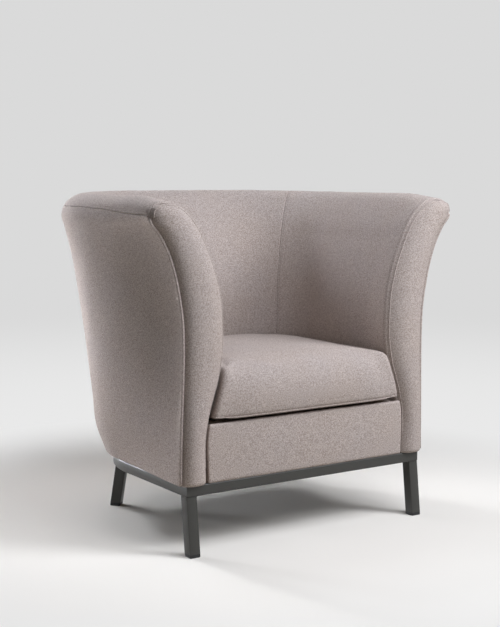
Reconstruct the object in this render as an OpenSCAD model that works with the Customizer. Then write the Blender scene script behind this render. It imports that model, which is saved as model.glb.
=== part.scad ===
// Tub chair: an upholstered U shaped shell with a flared rim, a loose seat cushion
// and a welded steel base on four square legs.
// Origin on the floor, under the middle of the whole. X to the right as seen from the
// front, Y to the back, Z up. Millimetres. Left and right are as seen from the front.

/* [Base] */
// Width of the steel base
base_w = 700; // [660:5:760]
// Depth of the steel base
base_d = 596; // [570:1:640]
// Length of the straight part at the back of the base
back_straight = 100; // [70:1:140]
// Height of the rail's tube
rail_h = 26; // [20:1:34]
// Width of the tube, for rails and legs
rail_w = 28; // [24:1:32]
// Wall of the tube
tube_wall = 2; // [1.5:0.5:3]
// Height of the rail's underside above the floor
leg_h = 141; // [110:1:180]
// How far the front feet stand forward
front_rake = 16; // [0:1:30]
// How far the back feet stand out
back_splay = 22; // [0:1:34]
// Height of a glide under its leg
glide_h = 8; // [5:1:14]
// Thickness of a fixing tab
tab_t = 3; // [2:0.5:4]
// Diameter of a fixing screw
screw_d = 5; // [4:0.5:6]

/* [Shell] */
// Height of the shell above the rail, at the back
shell_h = 674; // [630:1:720]
// How much lower the rim is at the front
rim_drop = 18; // [8:1:26]
// Reach of the rim outside the shell's middle line
rim_reach = 134; // [124:1:142]
// Distance of the shell's middle line inside the base's sides
path_in = 28; // [24:1:32]
// Length of the middle line's straight part at the back
shell_straight = 172; // [140:2:200]
// How far the middle line lies inside the base's back edge
path_back_in = 15; // [10:1:20]
// How far the arm fronts lean forward at the top
front_lean = 9; // [0:1:16]
// How far the arm fronts are crowned
facing_crown = 17; // [12:1:22]
// Diameter of the piping on the arm fronts
piping_d = 7; // [5:0.5:8]

/* [Seat] */
// Height of the seat deck above the rail
deck_h = 140; // [128:1:160]
// Thickness of the seat cushion at its edges
cushion_t = 128; // [110:1:140]
// Extra height of the cushion at its middle
cushion_crown = 14; // [6:1:20]
// Space between the cushion and the arms
cushion_gap = 8; // [5:1:12]
// How far the cushion's sides are drawn in between its corners
cushion_pull = 4; // [0:1:6]
// How far the cushion's front swells forward
front_swell = 15; // [5:1:20]

/* [Frame] */
// Thickness of the plywood boards and ribs
ply_t = 18; // [15:1:22]
// Thickness of the arm front posts
post_t = 22; // [18:1:26]
// Thickness of the seat rails
seat_rail_t = 24; // [20:1:28]
// Width of a webbing strap
web_w = 50; // [40:1:56]
// Thickness of a webbing strap
web_t = 2; // [1.5:0.5:3]
// Number of straps from front to back
straps_long = 5; // [4:1:6]
// Number of straps from side to side
straps_cross = 4; // [3:1:4]

/* [Padding] */
// Thickness of the cover fabric
cover_t = 2; // [1.5:0.1:2.5]
// Thickness of the outside wadding
wadding_t = 5; // [4:0.5:7]
// Depth of the hollow that the outside takes behind the piping
hollow_d = 9; // [0:1:9]
// Thickness of the foam on the inside of the arms and back
inside_foam_t = 32; // [26:1:36]
// Thickness of the foam over the rim
rim_foam_t = 18; // [14:1:20]
// Thickness of the fibre layer on top of the cushion's core
wrap_t = 14; // [10:1:20]

/* [Hidden] */

$fn = 64;

// Gap that keeps soft layers clear of each other
gap = 0.3;
// Overrun of every cutting tool
over = 1;

// Heights
rail_top = leg_h + rail_h;
shell_z = rail_top + gap;
board_top = rail_top + ply_t;
deck_z = rail_top + deck_h;
deck_foam_t = 16;
deck_cloth_t = 1.5;
deck_foam_z = deck_z - deck_cloth_t - deck_foam_t;
web_z = deck_foam_z - 2 * web_t - 3 * gap;
cushion_z = deck_z + gap;

// Middle line of the shell: straight sides, round back corners, straight back
side_x = base_w / 2 - path_in;
bend_x = shell_straight / 2;
bend_r = side_x - bend_x;
bend_y = base_d - path_back_in - bend_r;
// Centres of the base's own round corners
base_x = back_straight / 2;
corner_r = base_w / 2 - base_x;
base_y = base_d - corner_r;

// Outline of the shell's section, from the outer bottom over the rim to the seat.
// Each point is a share of rim_reach and a share of the shell's height.
front_shares = [
    [0.313, 0], [0.306, 0.129], [0.291, 0.25], [0.273, 0.369], [0.265, 0.49], [0.283, 0.584],
    [0.351, 0.675], [0.448, 0.759], [0.59, 0.836], [0.754, 0.893], [0.903, 0.933],
    [0.912, 0.956], [0.872, 0.982], [0.77, 0.996], [0.493, 1], [0.313, 0.989], [0.157, 0.967],
    [-0.06, 0.918], [-0.194, 0.87], [-0.313, 0.816], [-0.463, 0.733], [-0.552, 0.656],
    [-0.59, 0.558], [-0.582, 0.462], [-0.514, 0.38], [-0.301, 0.235], [-0.252, 0], [-0.252, 0]
];
back_shares = [
    [0.209, 0], [0.388, 0.1], [0.459, 0.23], [0.537, 0.361], [0.604, 0.479], [0.668, 0.568],
    [0.731, 0.657], [0.795, 0.739], [0.877, 0.813], [0.948, 0.869], [1, 0.912], [0.95, 0.949],
    [0.87, 0.973], [0.72, 0.992], [0.537, 1], [0.358, 0.984], [0.187, 0.945], [-0.03, 0.875],
    [-0.179, 0.813], [-0.299, 0.751], [-0.403, 0.674], [-0.47, 0.583], [-0.493, 0.487],
    [-0.493, 0.398], [-0.485, 0.334], [-0.47, 0.26], [-0.463, 0], [-0.463, 0]
];
// Places on that outline: outside seam, crest of the rim, seat deck and bottom,
K_SEAM = 11;
K_CREST = 14;
K_DECK = 26;
K_BOTTOM = 27;
// and where the frame's ribs end outside and start inside, and where the cushion's edge lies
K_RIB_OUT = 9;
K_RIB_IN = 18;
K_CUSHION = 23;

// Share of the side over which the inside takes its full form behind the arm front
inside_blend_share = 0.32;

// Stations along the middle line: 0 front left, 1 to 2 left corner, 3 middle of the
// back, 4 to 5 right corner, 6 front right
inside_seam_share = 0.445;
outside_seam_share = 0.556;
// Share of one station step that keeps two covers apart at a seam
seam_share = gap / bend_r;
// Share of one outline step that keeps the covers apart at the outside seam
lip_share = 0.04;
// Room that a flat panel between two stations takes inside and outside a round corner
inner_chord = 2.6;
outer_chord = 5;

// Arm front: the facing ends in front of the side covers
facing_edge = piping_d / 2;
facing_side = facing_edge + piping_d + 2 * gap;
post_y = facing_side + gap;
FACING_STEPS = 8;

function lerp(a, b, s) = a + (b - a) * s;
function clamp01(s) = min(1, max(0, s));
function smooth(s) = clamp01(s) * clamp01(s) * (3 - 2 * clamp01(s));
function unit(v) = v / norm(v);

// Place and outward normal of a station on the middle line
function place(q) =
    q > 3 ? let (m = place(6 - q)) [-m[0], m[1], -m[2], m[3]]
    : q <= 1 ? [-side_x, q * bend_y, -1, 0]
    : q <= 2 ? let (a = (q - 1) * 90) [
        -bend_x - bend_r * cos(a), bend_y + bend_r * sin(a), -cos(a), sin(a)
    ]
    : [(q - 3) * bend_x, bend_y + bend_r, 0, 1];

// How far a station is from the arm front's form to the back's form, outside and inside
function outside_mix(q) = smooth(min(q, 6 - q));
function inside_mix(q) = smooth(min(q, 6 - q) / inside_blend_share);
// The rim rises most of its way behind the arm front and the rest round the corner
rim_rise_share = 0.7;
rim_late_share = 0.9;
function rim_mix(q) =
    rim_rise_share * inside_mix(q)
    + (1 - rim_rise_share) * smooth(min(q, 6 - q) - rim_late_share);

function front_point(k) = [
    front_shares[k][0] * rim_reach,
    k == K_DECK ? deck_foam_z - rail_top
    : k == K_BOTTOM ? gap
    : front_shares[k][1] * (shell_h - rim_drop)
];
function back_point(k) = [
    back_shares[k][0] * rim_reach,
    k >= K_DECK ? deck_foam_z - rail_top : back_shares[k][1] * shell_h
];
function corner_point(k, q) =
    let (
        across = k <= K_SEAM ? outside_mix(q) : inside_mix(q),
        up = k <= K_SEAM || k > K_CREST + 3 ? across : rim_mix(q),
        f = front_point(k),
        b = back_point(k)
    )
    [lerp(f[0], b[0], across), lerp(f[1], b[1], up)];
// Point of the outline at any place between two corners of it
function outline_point(k, q) =
    let (i = min(K_BOTTOM - 1, max(0, floor(k))))
    lerp(corner_point(i, q), corner_point(i + 1, q), k - i);
function outline_dir(k, q) = unit(
    outline_point(min(K_BOTTOM, k + 0.5), q) - outline_point(max(0, k - 0.5), q)
);
// Point at a depth under the surface, in the section's own plane
function depth_point(k, q, d) =
    let (p = outline_point(k, q), t = outline_dir(k, q))
    p + d * [-t[1], t[0]];
function lean(z, q) = -front_lean * smooth(z / shell_h) * (1 - inside_mix(q));
function skin(k, q, d) =
    let (p = depth_point(k, q, d), at = place(q))
    [at[0] + p[0] * at[2], at[1] + p[0] * at[3] + lean(p[1], q), shell_z + p[1]];

// Inner face of an arm at a height above the floor, at a station and at the arm front
function inner_x(z, q) = side_x + lookup(
    z - rail_top,
    [for (k = [K_BOTTOM:-1:K_CREST]) let (p = corner_point(k, q)) [p[1], p[0]]]
);
function arm_inner_x(z) = inner_x(z, 0);

// Closed solid between two grids of points
module slab(a, b) {
    ni = len(a);
    nj = len(a[0]);
    n = ni * nj;
    quads = concat(
        [for (i = [0:ni - 2], j = [0:nj - 2])
            [i * nj + j, i * nj + j + 1, (i + 1) * nj + j + 1, (i + 1) * nj + j]],
        [for (i = [0:ni - 2], j = [0:nj - 2])
            [n + i * nj + j, n + (i + 1) * nj + j, n + (i + 1) * nj + j + 1, n + i * nj + j + 1]],
        [for (i = [0:ni - 2]) [i * nj, (i + 1) * nj, n + (i + 1) * nj, n + i * nj]],
        [for (i = [0:ni - 2])
            [i * nj + nj - 1, n + i * nj + nj - 1, n + (i + 1) * nj + nj - 1, (i + 1) * nj + nj - 1]],
        [for (j = [0:nj - 2]) [j, n + j, n + j + 1, j + 1]],
        [for (j = [0:nj - 2])
            [(ni - 1) * nj + j, (ni - 1) * nj + j + 1, n + (ni - 1) * nj + j + 1, n + (ni - 1) * nj + j]]
    );
    tris = [for (f = quads, h = [0, 1]) h == 0 ? [f[2], f[1], f[0]] : [f[3], f[2], f[0]]];
    polyhedron(points = concat([for (r = a) each r], [for (r = b) each r]), faces = tris);
}

// Hollow of the outside behind the arm front: deepest a little behind the piping, none at
// the bottom and at the seam under the rim
hollow_reach = 95;
hollow_edge = 20;
hollow_edge_share = 0.6;
HOLLOW_FULL = 4;
HOLLOW_END = 2;
function hollow(k, q) =
    let (off = min(q, 6 - q) * bend_y - facing_side)
    hollow_d * lerp(hollow_edge_share, 1, smooth(off / hollow_edge))
    * exp(-pow(off / hollow_reach, 2)) * smooth(k / HOLLOW_FULL) * smooth((K_SEAM - k) / HOLLOW_END);

// Layer of the shell between two depths, over stations qs and outline places ks
module layer(qs, ks, d0, d1) {
    slab(
        [for (q = qs) [for (i = [0:len(ks) - 1]) skin(ks[i], q, d0[i] + hollow(ks[i], q))]],
        [for (q = qs) [for (i = [0:len(ks) - 1]) skin(ks[i], q, d1[i] + hollow(ks[i], q))]]
    );
}
function same(ks, d) = [for (k = ks) d];

// Stations of the panels
front_q = facing_side / bend_y;
side_steps = [0.1, 0.2, 0.32, 0.55, 0.78, 1];
left_inside_qs = concat(
    [front_q], side_steps, [1.15, 1.3, 1 + inside_seam_share - seam_share]
);
back_inside_qs = concat(
    [1 + inside_seam_share + seam_share], [1.62, 1.81, 2, 3, 4, 4.19, 4.38],
    [5 - inside_seam_share - seam_share]
);
left_outside_qs = concat(
    [front_q], side_steps, [1.18, 1.36, 1 + outside_seam_share - seam_share]
);
back_outside_qs = concat(
    [1 + outside_seam_share + seam_share], [1.7, 1.85, 2, 3, 4, 4.15, 4.3],
    [5 - outside_seam_share - seam_share]
);
outside_ks = concat([for (k = [0:K_SEAM - 1]) k], [K_SEAM - lip_share]);
inside_ks = [for (k = [K_SEAM:K_DECK]) k];
foam_ks = [for (k = [K_SEAM + 1:K_DECK]) k];
wadding_ks = concat([0.1], [for (k = [1:K_SEAM - 1]) k]);

// Depths of the layers under the surface
pad_d = cover_t + gap;
outside_d = cover_t + wadding_t + 3 * gap;
function foam_depth(k) =
    pad_d + lerp(rim_foam_t, inside_foam_t, smooth((k - K_CREST - 1) / (K_DECK - K_CREST - 8)));
inside_d = pad_d + inside_foam_t + gap;

module mirrored() { mirror([1, 0, 0]) children(); }
// Everything is drawn with its front rail at y = 0; this moves a part to the origin
module seated() { translate([0, front_y, 0]) children(); }

// Steel base
module tube_section() {
    difference() {
        square([rail_w, rail_h]);
        translate([tube_wall, tube_wall]) square([rail_w - 2 * tube_wall, rail_h - 2 * tube_wall]);
    }
}
module front_tube() {
    intersection() {
        translate([-base_w / 2, 0, leg_h])
            rotate([90, 0, 90]) linear_extrude(base_w) tube_section();
        translate([0, 0, leg_h]) linear_extrude(rail_h) polygon([
            [-base_w / 2, 0], [base_w / 2, 0],
            [base_w / 2 - rail_w, rail_w], [-base_w / 2 + rail_w, rail_w]
        ]);
    }
}
module side_tube() {
    intersection() {
        translate([-base_w / 2 + rail_w, 0, leg_h])
            rotate([90, 0, 180]) linear_extrude(base_y) tube_section();
        translate([0, 0, leg_h]) linear_extrude(rail_h) polygon([
            [-base_w / 2, 0], [-base_w / 2 + rail_w, rail_w],
            [-base_w / 2 + rail_w, base_y], [-base_w / 2, base_y]
        ]);
    }
}
module bend_tube() {
    translate([-base_x, base_y, leg_h]) rotate([0, 0, 90])
        rotate_extrude(angle = 90, $fn = 96)
            translate([corner_r - rail_w, 0]) tube_section();
}
module back_tube() {
    translate([-base_x, base_d - rail_w, leg_h])
        rotate([90, 0, 90]) linear_extrude(2 * base_x) tube_section();
}

// Square stick from the rail's underside to the floor, its foot moved out along +Y
module stick(w, splay) {
    reach = leg_h * 2;
    rotate([atan(splay / leg_h), 0, 0])
        translate([-w / 2, -w / 2, -reach]) cube([w, w, reach * 2]);
}
module between(z0, z1) {
    intersection() {
        children();
        translate([-base_w, -base_w, z0 - leg_h]) cube([2 * base_w, 2 * base_w, z1 - z0]);
    }
}
module leg(splay) {
    between(glide_h, leg_h) difference() {
        stick(rail_w, splay);
        stick(rail_w - 2 * tube_wall, splay);
    }
}
glide_step = 2;
plug_h = 14;
module glide(splay) {
    between(glide_step, glide_h) stick(rail_w, splay);
    between(0, glide_step) stick(rail_w - glide_step, splay);
    between(glide_h, glide_h + plug_h) stick(rail_w - 2 * tube_wall - 2 * gap, splay);
}
module at_front_left() {
    translate([-base_w / 2 + rail_w / 2, rail_w / 2, leg_h]) rotate([0, 0, 180]) children();
}
module at_back_left() {
    mid_r = corner_r - rail_w / 2;
    translate([-base_x - mid_r * cos(45), base_y + mid_r * sin(45), leg_h])
        rotate([0, 0, 45]) children();
}

// Tabs inside the rails, each with its screw up into the boards
tab_l = 30;
tab_w = 34;
rail_in = base_w / 2 - rail_w;
tab_side_shares = [0.35, 0.9];
tab_front_share = 0.5;
tabs_at = concat(
    [for (s = tab_side_shares) [-rail_in, s * base_y, 0]],
    [for (s = tab_side_shares) [rail_in, s * base_y, 180]],
    [for (m = [-1, 1]) [m * tab_front_share * rail_in, rail_w, 90]],
    [[0, base_d - rail_w, -90]]
);
module each_tab() {
    for (t = tabs_at) translate([t[0], t[1], 0]) rotate([0, 0, t[2]]) children();
}
module tab() {
    difference() {
        translate([0, -tab_w / 2, rail_top - tab_t]) cube([tab_l, tab_w, tab_t]);
        translate([tab_l / 2, 0, rail_top - tab_t - over])
            cylinder(d = screw_d + 2 * gap, h = tab_t + 2 * over);
    }
}
head_share = 0.6;
grip_share = 0.7;
head_h = head_share * screw_d;
grip = grip_share * ply_t;
module screw() {
    translate([tab_l / 2, 0, rail_top - tab_t - head_h]) cylinder(d = 2 * screw_d, h = head_h);
    translate([tab_l / 2, 0, rail_top - tab_t - over]) cylinder(d = screw_d, h = tab_t + over + grip);
}
module screw_hole() {
    translate([tab_l / 2, 0, rail_top - over]) cylinder(d = screw_d + gap, h = grip + over + gap);
}

// Plan with straight sides from y0, round back corners and a straight back
module round_plan(x, y, r, y0) {
    translate([-x - r, y0]) square([2 * (x + r), y - y0]);
    intersection() {
        for (m = [-1, 1]) translate([m * x, y]) circle(r = r, $fn = 96);
        translate([-x - r, y]) square([2 * (x + r), r]);
    }
    translate([-x, y - over]) square([2 * x, r + over]);
}
// Plan of the shell at a distance r outside its middle line, and of the base inside its edge
module plan(r, y0) { round_plan(bend_x, bend_y, bend_r + r, y0); }
module base_plan(inset) { round_plan(base_x, base_y, corner_r - inset, inset); }
// Ring of that plan between two distances, and its left side and back
module band(r0, r1, y0) {
    difference() {
        plan(r1, y0);
        plan(r0, y0 - over);
    }
}
module left_band(r0, r1, y0) {
    translate([-side_x - r1, y0]) square([r1 - r0, bend_y - y0]);
}
module back_band(r0, r1) {
    intersection() {
        band(r0, r1, 0);
        translate([-base_w, bend_y]) square([2 * base_w, base_d]);
    }
}

// Plywood boards that lie on the steel rails
lap = 12;
dust_t = 1;
dust_in = rail_w + tab_l + tab_t;
board_in = dust_in + lap;
board_out = back_shares[0][0] * rim_reach - outside_d - wadding_t;
board_front_y = post_y;
module board_plan() {
    difference() {
        plan(board_out, board_front_y);
        base_plan(board_in);
    }
}
module boards(h) {
    difference() {
        translate([0, 0, rail_top]) linear_extrude(h) children();
        each_tab() screw_hole();
    }
}

// Timber seat rails that stand on the boards and carry the webbing
seat_rail_out = back_shares[K_DECK][0] * rim_reach + inside_d - 2 * gap;
seat_rail_in = seat_rail_out - seat_rail_t;
front_rail_y = post_y + lap;
post_q = (post_y + post_t / 2) / bend_y;

// Plywood ribs and posts, cut to the shell's section under its padding
top_rail_h = shell_h - rim_drop - pad_d - rim_foam_t - ply_t - lap;
top_rail_shares = [0.35, 0.73];
top_rail_in = top_rail_shares[0] * rim_reach;
top_rail_out = top_rail_shares[1] * rim_reach;
rib_foot_z = board_top - shell_z;
// Outside, a rib follows the shell at its front face, where the shell is narrowest, and
// inside it keeps clear of the shell at both its faces
post_slack = 3.5;
function rib_outline(q, t, foot) =
    let (
        dq = t / bend_y / 2,
        d = outside_d + (q > 1 && q < 2 ? outer_chord : 0),
        di = inside_d + (q < inside_blend_share ? post_slack : 0)
    )
    concat(
        [[depth_point(0, q - dq, d)[0], rib_foot_z]],
        [for (k = [1:K_RIB_OUT])
            depth_point(k, q - dq, d + max(hollow(k, q - dq), hollow(k, q + dq)))],
        [[top_rail_out, top_rail_h], [top_rail_in, top_rail_h]],
        [for (k = [K_RIB_IN:K_DECK - 1])
            let (a = depth_point(k, q - dq, di), b = depth_point(k, q + dq, di))
            [max(a[0], b[0]), (a[1] + b[1]) / 2]],
        foot
    );
module rib(q, t, foot) {
    at = place(q);
    translate([at[0], at[1], shell_z]) rotate([90, 0, atan2(at[3], at[2])])
        linear_extrude(t, center = true) polygon(rib_outline(q, t, foot));
}
function rib_foot(q, t) =
    let (x = depth_point(K_DECK, q + t / bend_y / 2, inside_d)[0])
    [[x, web_z - rail_top], [x, rib_foot_z]];
function post_foot(q) =
    let (x = depth_point(K_BOTTOM, q, outside_d)[0])
    [rib_foot(q - post_t / bend_y, post_t)[0] + [post_slack, 0], [x, web_z - rail_top], [x, rib_foot_z]];
arm_rib_share = 0.55;
corner_rib_share = 1.5;
back_rib_share = 2.35;

// Webbing and deck
strap_pitch_share = 1.6;
strap_pitch = strap_pitch_share * web_w;
// Share of a rail's width that a strap's end rests on, and of a strap's width beside the end ones
bearing_share = 0.7;
strap_margin_share = 0.6;
module long_straps() {
    mid_r = bend_r + (seat_rail_in + seat_rail_out) / 2;
    for (i = [0:straps_long - 1]) {
        x = (i - (straps_long - 1) / 2) * strap_pitch;
        side = max(0, abs(x) + web_w / 2 - bend_x);
        y1 = bend_y + sqrt(mid_r * mid_r - side * side);
        y0 = front_rail_y + (1 - bearing_share) * seat_rail_t;
        translate([x - web_w / 2, y0, web_z + gap]) cube([web_w, y1 - y0, web_t]);
    }
}
module cross_straps() {
    x1 = side_x + (seat_rail_in + seat_rail_out) / 2;
    first = front_rail_y + seat_rail_t + strap_margin_share * web_w;
    last = bend_y - strap_margin_share * web_w;
    for (i = [0:straps_cross - 1]) {
        y = lerp(first, last, i / (straps_cross - 1));
        translate([-x1, y - web_w / 2, web_z + web_t + 2 * gap]) cube([2 * x1, web_w, web_t]);
    }
}
side_rail_top = web_z + web_t + gap;
deck_out = back_shares[K_DECK][0] * rim_reach - inner_chord;
lip_y = -3;
lip_r = 14;
deck_y = lip_y + 3 * lip_r;
module deck(t) {
    linear_extrude(t) plan(deck_out, deck_y + gap);
}

// Front of the seat, below the cushion: a padded panel with a rounded top edge
front_half = inner_x(deck_z, front_q) - 2 * gap;
module lip_profile(d, y1, z0) {
    translate([lip_y + d, z0]) square([y1 - lip_y - d, deck_z - lip_r - z0]);
    translate([lip_y + lip_r, z0]) square([y1 - lip_y - lip_r, deck_z - d - z0]);
    translate([lip_y + lip_r, deck_z - lip_r]) circle(r = lip_r - d);
}
// Section drawn across the seat between the arms, which close in behind the arm fronts
module across(inset) {
    half = front_half - inset;
    back_half = inner_x(deck_z, deck_y / bend_y) - 2 * gap - inset;
    side = [[half, lip_y], [half, facing_side], [back_half, deck_y]];
    intersection() {
        translate([-half, 0, 0]) rotate([90, 0, 90]) linear_extrude(2 * half) children();
        linear_extrude(deck_z + over)
            polygon(concat(side, [for (i = [2:-1:0]) [-side[i][0], side[i][1]]]));
    }
}

// Arm front: a crowned band between the outer edge and the inner edge
function facing_pair(j, d) =
    let (i = j == FACING_TOP ? K_CREST : K_BOTTOM - j)
    [depth_point(j, 0, d), depth_point(i, 0, d)];
FACING_TOP = 13;
FACING_TURN = 10;
facing_crown_shares = [3, 0.45];
facing_end_shares = [1, 1, 1, 1, 1, 1, 1, 1, 1, 1, 1, 0.95, 0.75, 0.3];
function facing_point(j, i, d, inset) =
    let (
        w = (1 - cos(180 * i / FACING_STEPS)) / 2,
        pair = facing_pair(j, inset),
        p = lerp(pair[0], pair[1], w),
        edge = lerp(facing_edge, facing_side, max(smooth(w), smooth((j - FACING_TURN) / 2))) - gap,
        off = pow(abs(2 * w - 1), facing_crown_shares[0]),
        bulge = pow(1 - off, facing_crown_shares[1]) * facing_end_shares[j],
        y = edge - (facing_crown + edge - d) * bulge + lean(p[1], 0)
    )
    [-side_x - p[0], y, shell_z + p[1]];
function facing_grid(d, inset) = [
    for (j = [0:FACING_TOP]) [for (i = [0:FACING_STEPS]) facing_point(j, i, d, inset)]
];
function facing_flat(inset, y) = [
    for (j = [0:FACING_TOP]) [
        for (i = [0:FACING_STEPS])
            let (p = facing_point(j, i, 0, inset)) [p[0], y + lean(p[2] - shell_z, 0), p[2]]
    ]
];

// Piping along the outer edge of the arm front, a cord bent round the outline
PIPING_SIDES = 8;
piping_ks = [0.05, 1, 2, 3, 4, 5, 6, 7, 8, 9, 10, 10.3];
function piping_ring(k) =
    let (
        p = depth_point(k, 0, piping_d / 2 - cover_t / 2),
        t = outline_dir(k, 0),
        n = [-t[1], t[0]]
    )
    [for (i = [0:PIPING_SIDES - 1])
        let (a = 360 * i / PIPING_SIDES, u = p + n * cos(a) * piping_d / 2)
        [-side_x - u[0], facing_edge + gap + piping_d / 2 + lean(u[1], 0) + sin(a) * piping_d / 2,
            shell_z + u[1]]];
// Tube with flat ends through rings of points
module tube(rings) {
    n = len(rings[0]);
    m = len(rings);
    side = [for (i = [0:m - 2], j = [0:n - 1], h = [0, 1])
        h == 0 ? [i * n + j, (i + 1) * n + j, (i + 1) * n + (j + 1) % n]
        : [i * n + j, (i + 1) * n + (j + 1) % n, i * n + (j + 1) % n]];
    ends = [for (j = [1:n - 2], e = [0, 1])
        e == 0 ? [0, j, j + 1] : [(m - 1) * n, (m - 1) * n + j + 1, (m - 1) * n + j]];
    polyhedron(points = [for (r = rings) each r], faces = concat(side, ends));
}

// Cushion: plan outline with round corners and drawn-in sides
cushion_front = lip_y - gap;
cushion_rear_r = bend_r + back_shares[K_CUSHION][0] * rim_reach - cushion_gap;
cushion_back = bend_y + cushion_rear_r;
cushion_rear = bend_x + cushion_rear_r;
cushion_front_r = 20;
cushion_mid_y = (cushion_front + cushion_back) / 2;
blend_y = inside_blend_share * bend_y;
waist_share = 0.2;
function cushion_half(z) = arm_inner_x(z) - cushion_gap;
function arc(c, r, a0, a1, n) = [
    for (i = [0:n]) c + r * [cos(lerp(a0, a1, i / n)), sin(lerp(a0, a1, i / n))]
];
// Share of the cushion's height to share of the front's swell
swell_shares = [[0, 0.05], [0.12, 0.55], [0.3, 1], [0.5, 1], [0.7, 0.8], [1, 0.4]];
function swell(z) = front_swell * lookup((z - cushion_z) / cushion_t, swell_shares);
function cushion_right(half, inset, z) =
    let (
        x = half - inset,
        fr = max(cushion_front_r - inset, gap),
        rear = min(cushion_rear, half) - inset
    )
    concat(
        arc([x - fr, cushion_front - swell(z) + inset + fr], fr, -90, 0, 3),
        [[lerp(rear, x, waist_share), blend_y], [rear - cushion_pull, bend_y / 2 + blend_y / 2]],
        arc([rear - cushion_rear_r + inset, bend_y], cushion_rear_r - inset, 0, 90, 5)
    );
function cushion_plan(half, inset, z) =
    let (right = cushion_right(half, inset, z), n = len(right))
    concat(
        [[0, cushion_front - swell(z) + inset]],
        right,
        [[0, cushion_back - inset - cushion_pull]],
        [for (i = [1:n]) [-right[n - i][0], right[n - i][1]]]
    );
cushion_bottom_r = 12;
cushion_seam_h = 14;
seam_z = cushion_z + cushion_seam_h;
// Rings from the seam near the bottom up over the edge, then in over the crown
side_shares = [0.2, 0.4, 0.6, 0.75, 0.87, 0.96, 1];
edge_shares = [0, 0, 0.02, 0.12, 0.3, 0.62, 1];
edge_r = 20;
crown_shares = [0.92, 0.75, 0.5, 0.22];
function flat_ring(inset, z) = [for (p = cushion_plan(cushion_half(z), inset, z)) [p[0], p[1], z]];
function crown_ring(half, inset, top, s) = [
    for (p = cushion_plan(half, inset, cushion_top))
        [p[0] * s, cushion_mid_y + (p[1] - cushion_mid_y) * s, top + cushion_crown * (1 - s * s)]
];
cushion_top = cushion_z + cushion_t;
function cushion_rings(z0, d, drop) =
    let (top = cushion_top - drop, h = top - z0)
    concat(
        [flat_ring(d, z0)],
        [for (i = [0:len(side_shares) - 1]) flat_ring(d + edge_shares[i] * edge_r, z0 + side_shares[i] * h)],
        crown_rings(d, top)
    );
function crown_rings(d, top) = [
    for (s = crown_shares) crown_ring(cushion_half(cushion_top), d + edge_r, top, s)
];
function cushion_peak(top) = [0, cushion_mid_y, top + cushion_crown];
// Rings of the bottom panel, from the seam down and in under the edge
under_shares = [[0, 0], [0.7, 0.25], [1, 1]];
function under_rings(d) =
    [for (e = under_shares)
        flat_ring(
            d + e[1] * cushion_bottom_r,
            seam_z - gap - e[0] * (cushion_seam_h - gap - d)
        )];

// Faces of a dome through m rings of n points, with its peak at place p, from place s
function dome_faces(n, m, s, p) = concat(
    [for (i = [0:m - 2], j = [0:n - 1], h = [0, 1])
        let (a = s + i * n + j, b = s + i * n + (j + 1) % n)
        h == 0 ? [a, a + n, b + n] : [a, b + n, b]],
    [for (j = [0:n - 1]) [s + (m - 1) * n + j, p, s + (m - 1) * n + (j + 1) % n]]
);
function reversed(faces) = [for (f = faces) [f[2], f[1], f[0]]];
// Solid dome on a flat floor
module dome(rings, peak) {
    n = len(rings[0]);
    m = len(rings);
    polyhedron(
        points = concat([for (r = rings) each r], [peak]),
        faces = concat(dome_faces(n, m, 0, m * n), [[for (j = [0:n - 1]) j]])
    );
}
// Wall between two domes, open at the foot, or turned over and open at the top
module bowl(outer, outer_peak, inner, inner_peak, over_turned = false) {
    n = len(outer[0]);
    m = len(outer);
    half = m * n + 1;
    foot = [for (j = [0:n - 1], h = [0, 1])
        h == 0 ? [j, (j + 1) % n, half + (j + 1) % n] : [j, half + (j + 1) % n, half + j]];
    faces = concat(
        dome_faces(n, m, 0, m * n), reversed(dome_faces(n, m, half, half + m * n)), foot
    );
    polyhedron(
        points = concat([for (r = outer) each r], [outer_peak], [for (r = inner) each r], [inner_peak]),
        faces = over_turned ? reversed(faces) : faces
    );
}

// Half way between the front of the arms and the back of the rim
front_reach = min([for (row = facing_grid(0, 0), p = row) p[1]]);
front_y = -(front_reach + bend_y + bend_r + rim_reach) / 2;

fabric = [0.67, 0.63, 0.6];
foam = [0.93, 0.88, 0.7];
timber = [0.8, 0.66, 0.47];
steel = [0.28, 0.28, 0.27];

module front_rail() { color(steel) seated() front_tube(); }
module left_rail() { color(steel) seated() side_tube(); }
module right_rail() { color(steel) seated() mirrored() side_tube(); }
module left_back_bend() { color(steel) seated() bend_tube(); }
module right_back_bend() { color(steel) seated() mirrored() bend_tube(); }
module back_rail() { color(steel) seated() back_tube(); }
module front_left_leg() { color(steel) seated() at_front_left() leg(front_rake); }
module front_right_leg() { color(steel) seated() mirrored() at_front_left() leg(front_rake); }
module back_left_leg() { color(steel) seated() at_back_left() leg(back_splay); }
module back_right_leg() { color(steel) seated() mirrored() at_back_left() leg(back_splay); }
module front_left_glide() { color("black") seated() at_front_left() glide(front_rake); }
module front_right_glide() { color("black") seated() mirrored() at_front_left() glide(front_rake); }
module back_left_glide() { color("black") seated() at_back_left() glide(back_splay); }
module back_right_glide() { color("black") seated() mirrored() at_back_left() glide(back_splay); }
module fixing_tabs() { color(steel) seated() each_tab() tab(); }
module frame_screws() { color("silver") seated() each_tab() screw(); }

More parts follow.
